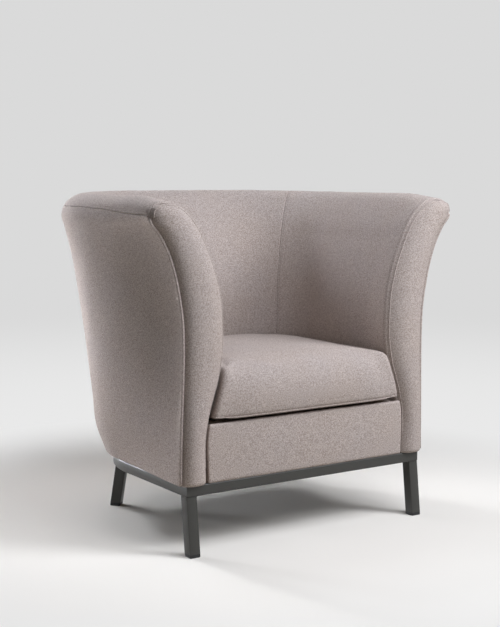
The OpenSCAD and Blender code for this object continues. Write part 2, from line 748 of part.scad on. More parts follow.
module board_part(x0, y0, x1, y1) {
    color(timber) seated() boards(ply_t) intersection() {
        board_plan();
        translate([x0, y0]) square([x1 - x0, y1 - y0]);
    }
}
module front_board() { board_part(-base_w, 0, base_w, board_in); }
module left_board() { board_part(-base_w, board_in, 0, bend_y); }
module right_board() { board_part(0, board_in, base_w, bend_y); }
module back_board() { board_part(-base_w, bend_y, base_w, 2 * base_d); }
module front_seat_rail() {
    half = side_x + post_foot(post_q)[1][0] - gap;
    color(timber) seated() translate([-half, front_rail_y, board_top])
        cube([2 * half, seat_rail_t, web_z - board_top]);
}
module side_seat_rail() {
    translate([0, 0, board_top]) linear_extrude(side_rail_top - board_top)
        left_band(seat_rail_in, seat_rail_out, front_rail_y + seat_rail_t);
}
module left_seat_rail() { color(timber) seated() side_seat_rail(); }
module right_seat_rail() { color(timber) seated() mirrored() side_seat_rail(); }
module back_seat_rail() {
    color(timber) seated() translate([0, 0, board_top]) linear_extrude(web_z - board_top)
        back_band(seat_rail_in, seat_rail_out);
}
module left_front_post() { color(timber) seated() rib(post_q, post_t, post_foot(post_q)); }
module right_front_post() { color(timber) seated() mirrored() rib(post_q, post_t, post_foot(post_q)); }
module rib_pair(q) {
    for (m = [0, 1]) mirror([m, 0, 0]) rib(q, ply_t, rib_foot(q, ply_t));
}
module arm_ribs() { color(timber) seated() rib_pair(arm_rib_share); }
module corner_ribs() { color(timber) seated() rib_pair(corner_rib_share); }
module back_ribs() { color(timber) seated() rib_pair(back_rib_share); }
module top_rail() {
    translate([0, 0, shell_z + top_rail_h]) linear_extrude(ply_t) children();
}
module left_top_rail() { color(timber) seated() top_rail() left_band(top_rail_in, top_rail_out, post_y); }
module right_top_rail() {
    color(timber) seated() mirrored() top_rail() left_band(top_rail_in, top_rail_out, post_y);
}
module back_top_rail() { color(timber) seated() top_rail() back_band(top_rail_in, top_rail_out); }

module webbing_lengthwise() { color([0.25, 0.23, 0.2]) seated() long_straps(); }
module webbing_crosswise() { color([0.35, 0.32, 0.28]) seated() cross_straps(); }
module deck_foam() { color(foam) seated() translate([0, 0, deck_foam_z]) deck(deck_foam_t - gap); }
module deck_cloth() {
    color([0.2, 0.2, 0.2]) seated() translate([0, 0, deck_z - deck_cloth_t]) deck(deck_cloth_t);
}
module seat_front_foam() {
    color(foam) seated() across(pad_d) difference() {
        lip_profile(pad_d, deck_y, shell_z);
        translate([board_front_y - gap, 0]) square([lip_r * 4, board_top + gap]);
        translate([front_rail_y - gap, 0]) square([lip_r * 4, web_z + web_t + 2 * gap]);
    }
}
module seat_front_cover() {
    color(fabric) seated() across(0) difference() {
        lip_profile(0, deck_y, shell_z);
        lip_profile(cover_t, deck_y + over, shell_z - over);
    }
}

module inside_foam(qs) {
    layer(qs, foam_ks, same(foam_ks, pad_d), [for (k = foam_ks) foam_depth(k)]);
}
module inside_cover(qs) { layer(qs, inside_ks, same(inside_ks, 0), same(inside_ks, cover_t)); }
module outside_cover(qs) { layer(qs, outside_ks, same(outside_ks, 0), same(outside_ks, cover_t)); }
module wadding(qs) {
    layer(qs, wadding_ks, same(wadding_ks, pad_d), same(wadding_ks, pad_d + wadding_t));
}
module inside_back_foam() { color(foam) seated() inside_foam(back_inside_qs); }
module left_arm_foam() { color(foam) seated() inside_foam(left_inside_qs); }
module right_arm_foam() { color(foam) seated() mirrored() inside_foam(left_inside_qs); }
module outside_wadding() {
    color("white") seated() {
        wadding(left_outside_qs);
        wadding(back_outside_qs);
        mirrored() wadding(left_outside_qs);
    }
}
module inside_back_cover() { color(fabric) seated() inside_cover(back_inside_qs); }
module left_inside_cover() { color(fabric) seated() inside_cover(left_inside_qs); }
module right_inside_cover() { color(fabric) seated() mirrored() inside_cover(left_inside_qs); }
module left_outside_cover() { color(fabric) seated() outside_cover(left_outside_qs); }
module right_outside_cover() { color(fabric) seated() mirrored() outside_cover(left_outside_qs); }
module outside_back_cover() { color(fabric) seated() outside_cover(back_outside_qs); }

module facing_pad() {
    slab(facing_grid(pad_d, piping_d + gap), facing_flat(piping_d + gap, post_y - gap));
}
module facing_skin() { slab(facing_grid(0, 0), facing_grid(cover_t, cover_t)); }
module left_facing_foam() { color(foam) seated() facing_pad(); }
module right_facing_foam() { color(foam) seated() mirrored() facing_pad(); }
module left_facing_cover() { color(fabric) seated() facing_skin(); }
module right_facing_cover() { color(fabric) seated() mirrored() facing_skin(); }
module piping_cord() { tube([for (k = piping_ks) piping_ring(k)]); }
module left_piping() { color(fabric) seated() piping_cord(); }
module right_piping() { color(fabric) seated() mirrored() piping_cord(); }

core_slack = 1.5;
module cushion_core() {
    drop = pad_d + wrap_t + gap;
    d = pad_d + core_slack;
    z0 = cushion_z + cover_t + gap;
    color(foam) seated() dome(
        concat(
            [flat_ring(d + cushion_bottom_r, z0)],
            cushion_rings(seam_z, d, drop)
        ),
        cushion_peak(cushion_top - drop)
    );
}
module cushion_wrap() {
    top = cushion_top - pad_d;
    low = top - wrap_t;
    color("white") seated() bowl(
        crown_rings(pad_d, top), cushion_peak(top), crown_rings(pad_d, low), cushion_peak(low)
    );
}
module cushion_top_cover() {
    color(fabric) seated() bowl(
        cushion_rings(seam_z, 0, 0), cushion_peak(cushion_top),
        cushion_rings(seam_z, cover_t, cover_t), cushion_peak(cushion_top - cover_t)
    );
}
module cushion_bottom_cover() {
    color(fabric) seated() bowl(
        under_rings(0), [0, cushion_mid_y, cushion_z],
        under_rings(cover_t), [0, cushion_mid_y, cushion_z + cover_t], true
    );
}
zip_t = 1.5;
zip_w = 22;
puller_share = 0.35;
module cushion_zip() {
    n = len(cushion_right(side_x, 0, seam_z));
    strip = [for (off = [gap, gap + zip_t]) let (pts = cushion_plan(cushion_half(seam_z), -off, seam_z))
        [for (z = [seam_z - zip_w / 2, seam_z + zip_w / 2])
            [for (i = [n - 2:n + 4]) [pts[i][0], pts[i][1], z]]]];
    color("black") seated() {
        slab(strip[1], strip[0]);
        translate([0, cushion_back - cushion_pull + gap + zip_t, seam_z])
            rotate([-90, 0, 0]) cylinder(d = puller_share * zip_w, h = zip_t);
    }
}
module dust_cover() {
    color("black") seated() translate([0, 0, rail_top - dust_t]) linear_extrude(dust_t) base_plan(dust_in);
}

front_rail();
left_rail();
right_rail();
left_back_bend();
right_back_bend();
back_rail();
front_left_leg();
front_right_leg();
back_left_leg();
back_right_leg();
front_left_glide();
front_right_glide();
back_left_glide();
back_right_glide();
fixing_tabs();
frame_screws();
front_board();
left_board();
right_board();
back_board();
front_seat_rail();
left_seat_rail();
right_seat_rail();
back_seat_rail();
left_front_post();
right_front_post();
arm_ribs();
corner_ribs();
back_ribs();
left_top_rail();
right_top_rail();
back_top_rail();
webbing_lengthwise();
webbing_crosswise();
deck_foam();
deck_cloth();
seat_front_foam();
seat_front_cover();
inside_back_foam();
left_arm_foam();
right_arm_foam();
left_facing_foam();
right_facing_foam();
outside_wadding();
inside_back_cover();
left_inside_cover();
right_inside_cover();
left_outside_cover();
right_outside_cover();
outside_back_cover();
left_facing_cover();
right_facing_cover();
left_piping();
right_piping();
cushion_core();
cushion_wrap();
cushion_top_cover();
cushion_bottom_cover();
cushion_zip();
dust_cover();
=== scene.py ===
"""Tub chair: an upholstered shell with a flared rim, a loose cushion and a welded steel base.

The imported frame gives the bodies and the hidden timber. Every soft layer and the steel tubes are
modelled here, in the frame's own place. Sizes in the classes are millimetres, meshes are metres.
"""
from __future__ import annotations

import logging
import math
from dataclasses import dataclass, field
from enum import Enum

import bmesh
import bpy
import numpy as np
from mathutils import Matrix, Vector
from mathutils.bvhtree import BVHTree


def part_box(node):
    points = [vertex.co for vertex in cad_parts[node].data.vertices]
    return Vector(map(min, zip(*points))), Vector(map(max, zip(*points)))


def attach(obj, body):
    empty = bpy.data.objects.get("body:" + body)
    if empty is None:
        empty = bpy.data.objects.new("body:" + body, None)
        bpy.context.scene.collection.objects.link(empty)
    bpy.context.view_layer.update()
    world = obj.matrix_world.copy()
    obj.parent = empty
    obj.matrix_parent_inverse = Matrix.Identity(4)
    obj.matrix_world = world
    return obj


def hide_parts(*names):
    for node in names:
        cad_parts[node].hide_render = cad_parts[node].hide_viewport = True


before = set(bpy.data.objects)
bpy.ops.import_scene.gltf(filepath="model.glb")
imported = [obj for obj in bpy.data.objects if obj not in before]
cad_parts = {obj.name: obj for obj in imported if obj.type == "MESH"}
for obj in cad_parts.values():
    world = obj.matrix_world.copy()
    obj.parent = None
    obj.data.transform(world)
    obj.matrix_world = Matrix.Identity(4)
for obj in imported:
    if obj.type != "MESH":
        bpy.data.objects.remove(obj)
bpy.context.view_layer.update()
LOG = logging.getLogger("tub_chair")
MM = 0.001

Array = np.ndarray
Mesh = bmesh.types.BMesh
Piece = bpy.types.Object
Material = bpy.types.Material
Tree = bpy.types.NodeTree
Socket = bpy.types.NodeSocket


class Body(Enum):
    """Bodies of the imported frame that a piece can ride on."""

    FRAME = "frame"
    CUSHION = "cushion"


class Side(Enum):
    """Left and right, as seen from the front."""

    LEFT = -1
    RIGHT = 1


def smooth(value: Array | float) -> Array:
    """Eases 0 to 1, held level outside that range."""
    held = np.clip(value, 0.0, 1.0)
    return held * held * (3.0 - 2.0 * held)


def quarter_round(share: Array | float) -> Array:
    """Height of a quarter circle, which rises steeply from 0 at 0 and is level at 1."""
    return np.sqrt(1 - (1 - np.clip(share, 0, 1)) ** 2)


def unit(rows: Array) -> Array:
    """Rows of vectors, each made one long."""
    return rows / np.maximum(np.linalg.norm(rows, axis=1)[:, None], 1e-9)


def at_lengths(line: Array, run: Array, places: Array | float) -> Array:
    """Points of a line at distances along it.

    Args:
        line: Points of the line, one row each.
        run: Distance travelled to each of them.
        places: The distances to read.

    Returns:
        One point for each distance.
    """
    return np.stack([np.interp(places, run, line[:, axis]) for axis in range(line.shape[1])], axis=-1)


def curve(points: Array, places: Array) -> Array:
    """Smooth curve through points, whose bends follow the points' real distances.

    Args:
        points: Corner points, one row each.
        places: Where to read the curve, in numbers of corner points from the first.

    Returns:
        One point for each place.
    """
    steps = np.diff(points, axis=0)
    lengths = np.maximum(np.linalg.norm(steps, axis=1)[:, None], 1e-6)
    slopes = steps / lengths
    tangents = np.empty_like(points)
    tangents[0], tangents[-1] = slopes[0], slopes[-1]
    both = lengths[:-1] + lengths[1:]
    tangents[1:-1] = (lengths[:-1] * slopes[1:] + lengths[1:] * slopes[:-1]) / both
    start = np.clip(np.floor(places).astype(int), 0, len(points) - 2)
    s = (places - start)[:, None]
    h = lengths[start]
    return (
        (2 * s**3 - 3 * s**2 + 1) * points[start]
        + (s**3 - 2 * s**2 + s) * h * tangents[start]
        + (3 * s**2 - 2 * s**3) * points[start + 1]
        + (s**3 - s**2) * h * tangents[start + 1]
    )


def along(points: Array) -> Array:
    """Length travelled from the first point to each of a row of points."""
    return np.concatenate([[0.0], np.cumsum(np.linalg.norm(np.diff(points, axis=0), axis=1))])


def waves(place: Array, length: float, seed: int) -> Array:
    """Uneven wave from about -1 to 1, the same on each run.

    Args:
        place: Distance along the cloth, in millimetres.
        length: Usual length of one wave, in millimetres.
        seed: Number that picks the wave.

    Returns:
        The wave's height at each place.
    """
    draw = np.random.default_rng(seed)
    total = np.zeros_like(place, dtype=float)
    for share in (0.6, 1.0, 1.7):
        total += np.sin(place * 2 * math.pi * share / length + draw.uniform(0, 6.28)) / 2.2
    return total


def new_verts(made: dict) -> list[bmesh.types.BMVert]:
    """The vertices among what an extrusion made."""
    return [v for v in made["geom"] if isinstance(v, bmesh.types.BMVert)]


def in_order(bm: Mesh) -> Mesh:
    """The same mesh with its points and faces in one order on each run, so that cloth repeats.

    Args:
        bm: The mesh, which is freed.

    Returns:
        The new mesh.
    """
    verts = sorted(bm.verts, key=lambda v: tuple(v.co))
    rank = {vert: n for n, vert in enumerate(verts)}
    loops = []
    for face in bm.faces:
        ring = [rank[vert] for vert in face.verts]
        start = ring.index(min(ring))
        loops.append(ring[start:] + ring[:start])
    fresh = bmesh.new()
    spots = [fresh.verts.new(vert.co) for vert in verts]
    for ring in sorted(loops):
        fresh.faces.new([spots[n] for n in ring])
    bm.free()
    return fresh


def join(whole: Mesh, part: Mesh) -> None:
    """Adds a part to a mesh and frees the part."""
    carrier = bpy.data.meshes.new("part")
    part.to_mesh(carrier)
    part.free()
    whole.from_mesh(carrier)
    bpy.data.meshes.remove(carrier)


def object_from(bm: Mesh, name: str, shade_smooth: bool = True) -> Piece:
    """Turns a finished bmesh into an object at the origin.

    Args:
        bm: The mesh, which is freed.
        name: The object's name.
        shade_smooth: Whether faces are shaded as one curved surface.

    Returns:
        The new object, linked to the scene.
    """
    mesh = bpy.data.meshes.new(name)
    for face in bm.faces:
        face.smooth = shade_smooth
    bm.to_mesh(mesh)
    bm.free()
    piece = bpy.data.objects.new(name, mesh)
    bpy.context.scene.collection.objects.link(piece)
    return piece


def lattice_mesh(points: Array) -> tuple[Mesh, dict]:
    """Open grid whose vertices lie on a lattice of points, with a UV map in real metres.

    Args:
        points: Lattice points in metres, rows by columns by three.

    Returns:
        The mesh, and each vertex's row and column.
    """
    rows, columns = points.shape[0] - 1, points.shape[1] - 1
    bm = bmesh.new()
    bmesh.ops.create_grid(bm, x_segments=columns, y_segments=rows, size=0.5)
    across = np.stack([along(row) for row in points])
    upward = np.stack([along(points[:, i]) for i in range(columns + 1)], axis=1)
    cells = {v: (round((v.co.y + 0.5) * rows), round((v.co.x + 0.5) * columns)) for v in bm.verts}
    layer = bm.loops.layers.uv.new("cloth")
    for vert, cell in cells.items():
        vert.co = points[cell]
        for loop in vert.link_loops:
            loop[layer].uv = (across[cell], upward[cell])
    return bm, cells


def slab(name: str, outer: Array, inner: Array) -> Piece:
    """Closed layer between two lattices of points.

    Args:
        name: The object's name.
        outer: Points of the outer face in metres, rows by columns by three.
        inner: Points of the inner face, the same size.

    Returns:
        The layer as an object.
    """
    bm, cells = lattice_mesh(outer)
    bm.verts.index_update()
    places = [cells[v] for v in bm.verts]
    tag = bm.verts.layers.int.new("cell")
    for vert in bm.verts:
        vert[tag] = vert.index
    for vert in new_verts(bmesh.ops.extrude_face_region(bm, geom=bm.faces[:])):
        vert.co = inner[places[vert[tag]]]
    bm.verts.layers.int.remove(tag)
    bmesh.ops.recalc_face_normals(bm, faces=bm.faces)
    return object_from(bm, name)


def tube(name: str, middle: Array, across: tuple[Array, Array], radius: Array, sides: int) -> Piece:
    """Round cord swept along a line, closed at its ends.

    Args:
        name: The object's name.
        middle: Points of its middle line in metres.
        across: Two unit directions across it, each with a row for each point.
        radius: Its radius at each point in metres.
        sides: Number of sides.

    Returns:
        The cord as an object.
    """
    angle = np.linspace(0, 2 * math.pi, sides + 1)[None, :, None]
    ring = np.cos(angle) * across[0][:, None] + np.sin(angle) * across[1][:, None]
    bm, _ = lattice_mesh(middle[:, None, :] + ring * radius[:, None, None])
    bmesh.ops.remove_doubles(bm, verts=bm.verts, dist=1e-7)
    bmesh.ops.holes_fill(bm, edges=[e for e in bm.edges if e.is_boundary], sides=0)
    bmesh.ops.recalc_face_normals(bm, faces=bm.faces)
    return object_from(bm, name)


def finish_piece(
    piece: Piece,
    body: Body,
    material: Material,
    nodes: tuple[str, ...] = (),
) -> Piece:
    """Gives a piece its material, its body and the solids it stands for.

    Args:
        piece: The finished piece.
        body: The body it rides on.
        material: Its material.
        nodes: The CAD nodes it replaces.

    Returns:
        The same piece.
    """
    piece.data.materials.clear()
    piece.data.materials.append(material)
    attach(piece, body.value)
    if nodes:
        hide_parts(*nodes)
    LOG.info("%s: %d faces", piece.name, len(piece.data.polygons))
    return piece


def mirrored_copy(piece: Piece, name: str) -> Piece:
    """Copy of a left piece, mirrored to the right, with its faces outward.

    Args:
        piece: The left piece.
        name: The copy's name.

    Returns:
        The right piece.
    """
    bm = bmesh.new()
    bm.from_mesh(piece.data)
    bmesh.ops.scale(bm, vec=(-1, 1, 1), verts=bm.verts)
    bmesh.ops.reverse_faces(bm, faces=bm.faces)
    return object_from(bm, name)


def nominal_lines(total: float, fine: tuple[float, ...], pitch: float) -> Array:
    """Lattice lines over a length, close together beside its ends.

    Args:
        total: The length in millimetres.
        fine: Distances from an end at which lines lie.
        pitch: Distance of the lines between.

    Returns:
        Distances from the start, from 0 to total.
    """
    start = np.array(fine)
    end = total - start[::-1]
    count = max(2, int(round((end[0] - start[-1]) / pitch)))
    middle = np.linspace(start[-1], end[0], count + 1)[1:-1]
    return np.concatenate([start, middle, end])


# Shell


FRONT_SHARES = np.array([
    [0.313, 0], [0.306, 0.129], [0.291, 0.25], [0.273, 0.369], [0.265, 0.49], [0.283, 0.584],
    [0.351, 0.675], [0.448, 0.759], [0.59, 0.836], [0.754, 0.893], [0.903, 0.933],
    [0.912, 0.956], [0.872, 0.982], [0.77, 0.996], [0.493, 1], [0.313, 0.989], [0.157, 0.967],
    [-0.06, 0.918], [-0.194, 0.87], [-0.313, 0.816], [-0.463, 0.733], [-0.552, 0.656],
    [-0.59, 0.558], [-0.582, 0.462], [-0.514, 0.38], [-0.301, 0.235], [-0.252, 0], [-0.252, 0],
])
BACK_SHARES = np.array([
    [0.209, 0], [0.388, 0.1], [0.459, 0.23], [0.537, 0.361], [0.604, 0.479], [0.668, 0.568],
    [0.731, 0.657], [0.795, 0.739], [0.877, 0.813], [0.948, 0.869], [1, 0.912], [0.95, 0.949],
    [0.87, 0.973], [0.72, 0.992], [0.537, 1], [0.358, 0.984], [0.187, 0.945], [-0.03, 0.875],
    [-0.179, 0.813], [-0.299, 0.751], [-0.403, 0.674], [-0.47, 0.583], [-0.493, 0.487],
    [-0.493, 0.398], [-0.485, 0.334], [-0.47, 0.26], [-0.463, 0], [-0.463, 0],
])
# Places along the section, and stations round the seat
SEAM, CREST, DECK, BOTTOM = 11, 14, 26, 27
MIDDLE, LAST = 3, 6


def from_front(q: Array | float) -> Array:
    """Stations counted from the nearer arm front."""
    return np.minimum(q, LAST - q)


def mirrored_span(span: tuple[float, float]) -> tuple[float, float]:
    """The right side's stations for a span of the left side."""
    return LAST - span[1], LAST - span[0]


@dataclass(frozen=True)
class ShellForm:
    """Form of the shell: its section as it runs round the seat along a U shaped middle line.

    A place is a station q along the middle line (0 front left, 3 middle of the back, 6 front
    right) and a place k along the section (0 outer bottom, 11 seam, 14 crest, 26 seat deck).
    """

    side_x: float = 322.0
    bend_x: float = 86.0
    bend_r: float = 236.0
    bend_y: float = 345.0
    rim_reach: float = 134.0
    height: float = 674.0
    rim_drop: float = 18.0
    front_lean: float = 9.0
    front_y: float = -344.624
    rail_top: float = 167.0
    shell_z: float = 167.3
    deck_rise: float = 122.5
    inside_blend: float = 0.32
    side_front: float = 11.1
    hollow_d: float = 9.0
    pull_d: float = 2.6
    pull_reach: float = 18.0
    hollow_reach: float = 95.0
    hollow_edge: float = 20.0
    hollow_edge_share: float = 0.6
    rim_share: float = 0.7
    rim_delay: float = 0.9

    def corners(self) -> tuple[Array, Array]:
        """Corner points of the section at the arm front and at the back."""
        front = FRONT_SHARES * (self.rim_reach, self.height - self.rim_drop)
        back = BACK_SHARES * (self.rim_reach, self.height)
        for section in (front, back):
            section[DECK, 1] = self.deck_rise
            section[BOTTOM, 1] = self.shell_z - self.rail_top
        return front, back

    def inside_mix(self, q: Array) -> Array:
        """How far a station is from the arm front's inner form to the back's."""
        return smooth(from_front(q) / self.inside_blend)

    def section(self, k: Array, q: Array) -> Array:
        """Points of the section: distance outside the middle line, and height above the rail."""
        front, back = (curve(corners, k) for corners in self.corners())
        end = from_front(q)
        outside, inside = smooth(end), self.inside_mix(q)
        rim = self.rim_share * inside + (1 - self.rim_share) * smooth(end - self.rim_delay)
        crossing = smooth(k - SEAM)
        reach = outside + (inside - outside) * crossing
        rise = outside + (rim - outside) * crossing
        rise = rise + (inside - rise) * smooth(k - CREST - 3)
        x = front[:, 0] + (back[:, 0] - front[:, 0]) * reach
        z = front[:, 1] + (back[:, 1] - front[:, 1]) * rise
        return np.stack([x, z], axis=1)

    def hollow(self, k: Array, q: Array, pulled: float = 0.0) -> Array:
        """Depth of the hollow that the outside takes behind the piping, in millimetres.

        Args:
            k: Places along the section.
            q: Stations along the middle line.
            pulled: 0 for the frame's hollow, 1 for the tight cover, which sinks into the wadding.

        Returns:
            Depths in millimetres.
        """
        off = np.maximum(from_front(q) * self.bend_y - self.side_front, 0)
        share = self.hollow_edge_share + (1 - self.hollow_edge_share) * smooth(off / self.hollow_edge)
        fade = smooth(k / 4) * smooth((SEAM - k) / 2)
        depth = self.hollow_d + self.pull_d * pulled
        reach = self.hollow_reach + self.pull_reach * pulled
        return depth * share * np.exp(-((off / reach) ** 2)) * fade

    def inward(self, k: Array, q: Array) -> Array:
        """Unit direction into the shell, in the section's plane."""
        reach = 0.2
        ahead, behind = np.minimum(k + reach, BOTTOM), np.maximum(k - reach, 0)
        step = unit(self.section(ahead, q) - self.section(behind, q))
        return np.stack([-step[:, 1], step[:, 0]], axis=1)

    def path(self, q: Array) -> tuple[Array, Array]:
        """Points of the middle line and its outward directions, in plan."""
        near = from_front(q)
        side = np.where(q > MIDDLE, -1.0, 1.0)
        angle = np.clip(near - 1, 0, 1) * math.pi / 2
        x = -self.bend_x - self.bend_r * np.cos(angle) + np.clip(near - 2, 0, 1) * self.bend_x
        y = np.minimum(near, 1) * self.bend_y + self.bend_r * np.sin(angle)
        place = np.stack([side * x, y], axis=1)
        return place, np.stack([-side * np.cos(angle), np.sin(angle)], axis=1)

    def skin(self, k: Array, q: Array, depth: Array | float = 0.0) -> Array:
        """Points at a depth under the shell's surface, in metres.

        Args:
            k: Places along the section.
            q: Stations along the middle line.
            depth: Depths under the surface in millimetres.

        Returns:
            Points in the frame, in the shape of k with three numbers each.
        """
        shape = np.shape(k)
        k, q = np.ravel(k).astype(float), np.ravel(q).astype(float)
        depth = np.ravel(np.broadcast_to(depth, shape)).astype(float)
        p = self.section(k, q) + self.inward(k, q) * depth[:, None]
        place, out = self.path(q)
        lean = -self.front_lean * smooth(p[:, 1] / self.height) * (1 - self.inside_mix(q))
        plan = place + out * p[:, :1]
        points = np.stack([plan[:, 0], plan[:, 1] + lean + self.front_y, self.shell_z + p[:, 1]], axis=1)
        return (points * MM).reshape(*shape, 3)

    def inner_x(self, z: Array, q: float) -> Array:
        """Distance of an arm's inner face from the middle, at heights above the floor."""
        k = np.linspace(CREST + 1, BOTTOM, 240)
        p = self.section(k, np.full_like(k, q))
        return self.side_x + np.interp(np.asarray(z) - self.rail_top, p[::-1, 1], p[::-1, 0])


@dataclass(frozen=True)
class Edge:
    """One edge of a cover: how it rolls into its seam and where it is topstitched."""

    roll: float = 3.2
    sink: float = 2.2
    stitch_at: float = 0.0
    stitch_sink: float = 0.7
    stitch_reach: float = 0.9

    def depth(self, distance: Array) -> Array:
        """Depth of the cloth under its smooth form, at distances from the edge."""
        sunk = self.sink * (1 - quarter_round(distance / self.roll))
        if self.stitch_at > 0:
            sunk += self.stitch_sink * np.exp(-(((distance - self.stitch_at) / self.stitch_reach) ** 2))
        return sunk


# Distances from a cover's edge at which its lattice has lines, in millimetres
FINE = (0.0, 0.3, 0.8, 1.6, 2.6, 3.8, 4.8, 5.4, 6.0, 6.6, 7.3, 8.0, 8.7, 9.6, 12.0, 15.5, 20.0)


@dataclass
class ShellPanel:
    """One cover of the shell, over stations q0 to q1 and section places k0 to k1."""

    name: str
    q0: float
    q1: float
    k0: float
    k1: float
    form: ShellForm
    first: Edge = field(default_factory=Edge)
    last: Edge = field(default_factory=Edge)
    low: Edge = field(default_factory=Edge)
    high: Edge = field(default_factory=Edge)
    pitch: float = 7.0
    row_pitch: float = 7.0
    thickness: float = 2.0
    pucker: float = 0.0
    seed: int = 1
    station_mm: float = 360.0
    uneven: float = 0.3
    pucker_reach: float = 38.0

    def lattice(self) -> tuple[Array, Array]:
        """Section places and stations of the lattice, rows by columns."""
        dense = 300
        dense_k = np.linspace(self.k0, self.k1, dense)
        up = along(self.form.skin(dense_k, np.full_like(dense_k, (self.q0 + self.q1) / 2))) / MM
        ks = np.interp(nominal_lines(up[-1], FINE, self.row_pitch), up, dense_k)
        dense_q = np.linspace(self.q0, self.q1, dense)
        crest = np.full_like(dense_q, (self.k0 + self.k1) / 2)
        usual = along(self.form.skin(crest, dense_q))[-1] / MM
        lines = nominal_lines(usual, FINE, self.pitch)
        margin = FINE[-1]
        stations = []
        for k in ks:
            run = along(self.form.skin(np.full_like(dense_q, k), dense_q)) / MM
            grown = (run[-1] - 2 * margin) / (usual - 2 * margin)
            held = np.clip(lines, margin, usual - margin)
            last = run[-1] - (usual - lines)
            late = np.where(lines >= usual - margin, last, margin + (held - margin) * grown)
            at = np.where(lines <= margin, lines, late)
            stations.append(np.interp(at, run, dense_q))
        q = np.array(stations)
        k = np.repeat(ks[:, None], q.shape[1], axis=1)
        return self.waved(k, q), q

    def waved(self, k: Array, q: Array) -> Array:
        """Section places with the slight wander of the seam under the rim."""
        travel = q * self.station_mm
        wander = 0.035 * waves(travel, 90.0, 5) + 0.02 * waves(travel, 31.0, 6)
        return k + wander * np.exp(-(((k - SEAM) / 0.35) ** 2))

    def depths(self, k: Array, q: Array, points: Array) -> Array:
        """Depth of the cloth under the smooth form at each lattice point, in millimetres."""
        across = np.stack([along(row) for row in points]) / MM
        upward = np.stack([along(points[:, i]) for i in range(points.shape[1])], axis=1) / MM
        below, above = upward, upward[-1:, :] - upward
        depth = self.first.depth(across) + self.last.depth(across[:, -1:] - across)
        depth += self.low.depth(below) + self.high.depth(above)
        wave = waves(across + 0.3 * upward, 130.0, self.seed)
        depth += self.uneven * wave * smooth(below / 60) * smooth(above / 60)
        depth += self.form.hollow(k, q, 1.0)
        if self.pucker:
            travel = q * self.station_mm
            fold = waves(travel, 24.0, self.seed + 20) + 0.6 * waves(travel, 11.0, self.seed + 21)
            near_seam = np.exp(-((above / self.pucker_reach) ** 2)) * smooth(above / 3.0)
            depth += self.pucker * (0.6 - fold) * near_seam
        return depth

    def surfaces(self) -> tuple[Array, Array]:
        """Outer and inner points of the cover."""
        k, q = self.lattice()
        depth = self.depths(k, q, self.form.skin(k, q))
        return self.form.skin(k, q, depth), self.form.skin(k, q, depth + self.thickness)

    def build(self) -> Piece:
        """The cover as a closed layer of cloth."""
        return slab(self.name, *self.surfaces())


@dataclass
class Stitches:
    """Row of short stitches that lie half sunk in the cloth."""

    name: str
    length: float = 3.4
    gap: float = 1.3
    width: float = 0.9
    flatness: float = 0.7

    def build(self, line: Array, normals: Array) -> Piece:
        """Lays stitches along a line.

        Args:
            line: Points of the seam in metres.
            normals: Direction out of the cloth at each point.

        Returns:
            All the stitches as one object.
        """
        run = along(line) / MM
        pitch = self.length + self.gap
        size = Vector((self.length, self.width, self.width * self.flatness)) * MM / 2
        lying = Matrix.Diagonal((*size, 1)) @ Matrix.Rotation(math.pi / 2, 4, "Y")
        bm = bmesh.new()
        for middle in (np.arange(int(run[-1] // pitch)) + 0.5) * pitch:
            first, spot, last = (
                Vector(at_lengths(line, run, middle + share * self.length)) for share in (-0.5, 0, 0.5)
            )
            ahead = (last - first).normalized()
            beside = ahead.cross(Vector(at_lengths(normals, run, middle))).normalized()
            turn = Matrix((ahead, beside, beside.cross(ahead))).transposed().to_4x4()
            bmesh.ops.create_uvsphere(
                bm, u_segments=6, v_segments=4, radius=1, matrix=Matrix.Translation(spot) @ turn @ lying,
            )
        return object_from(bm, self.name)


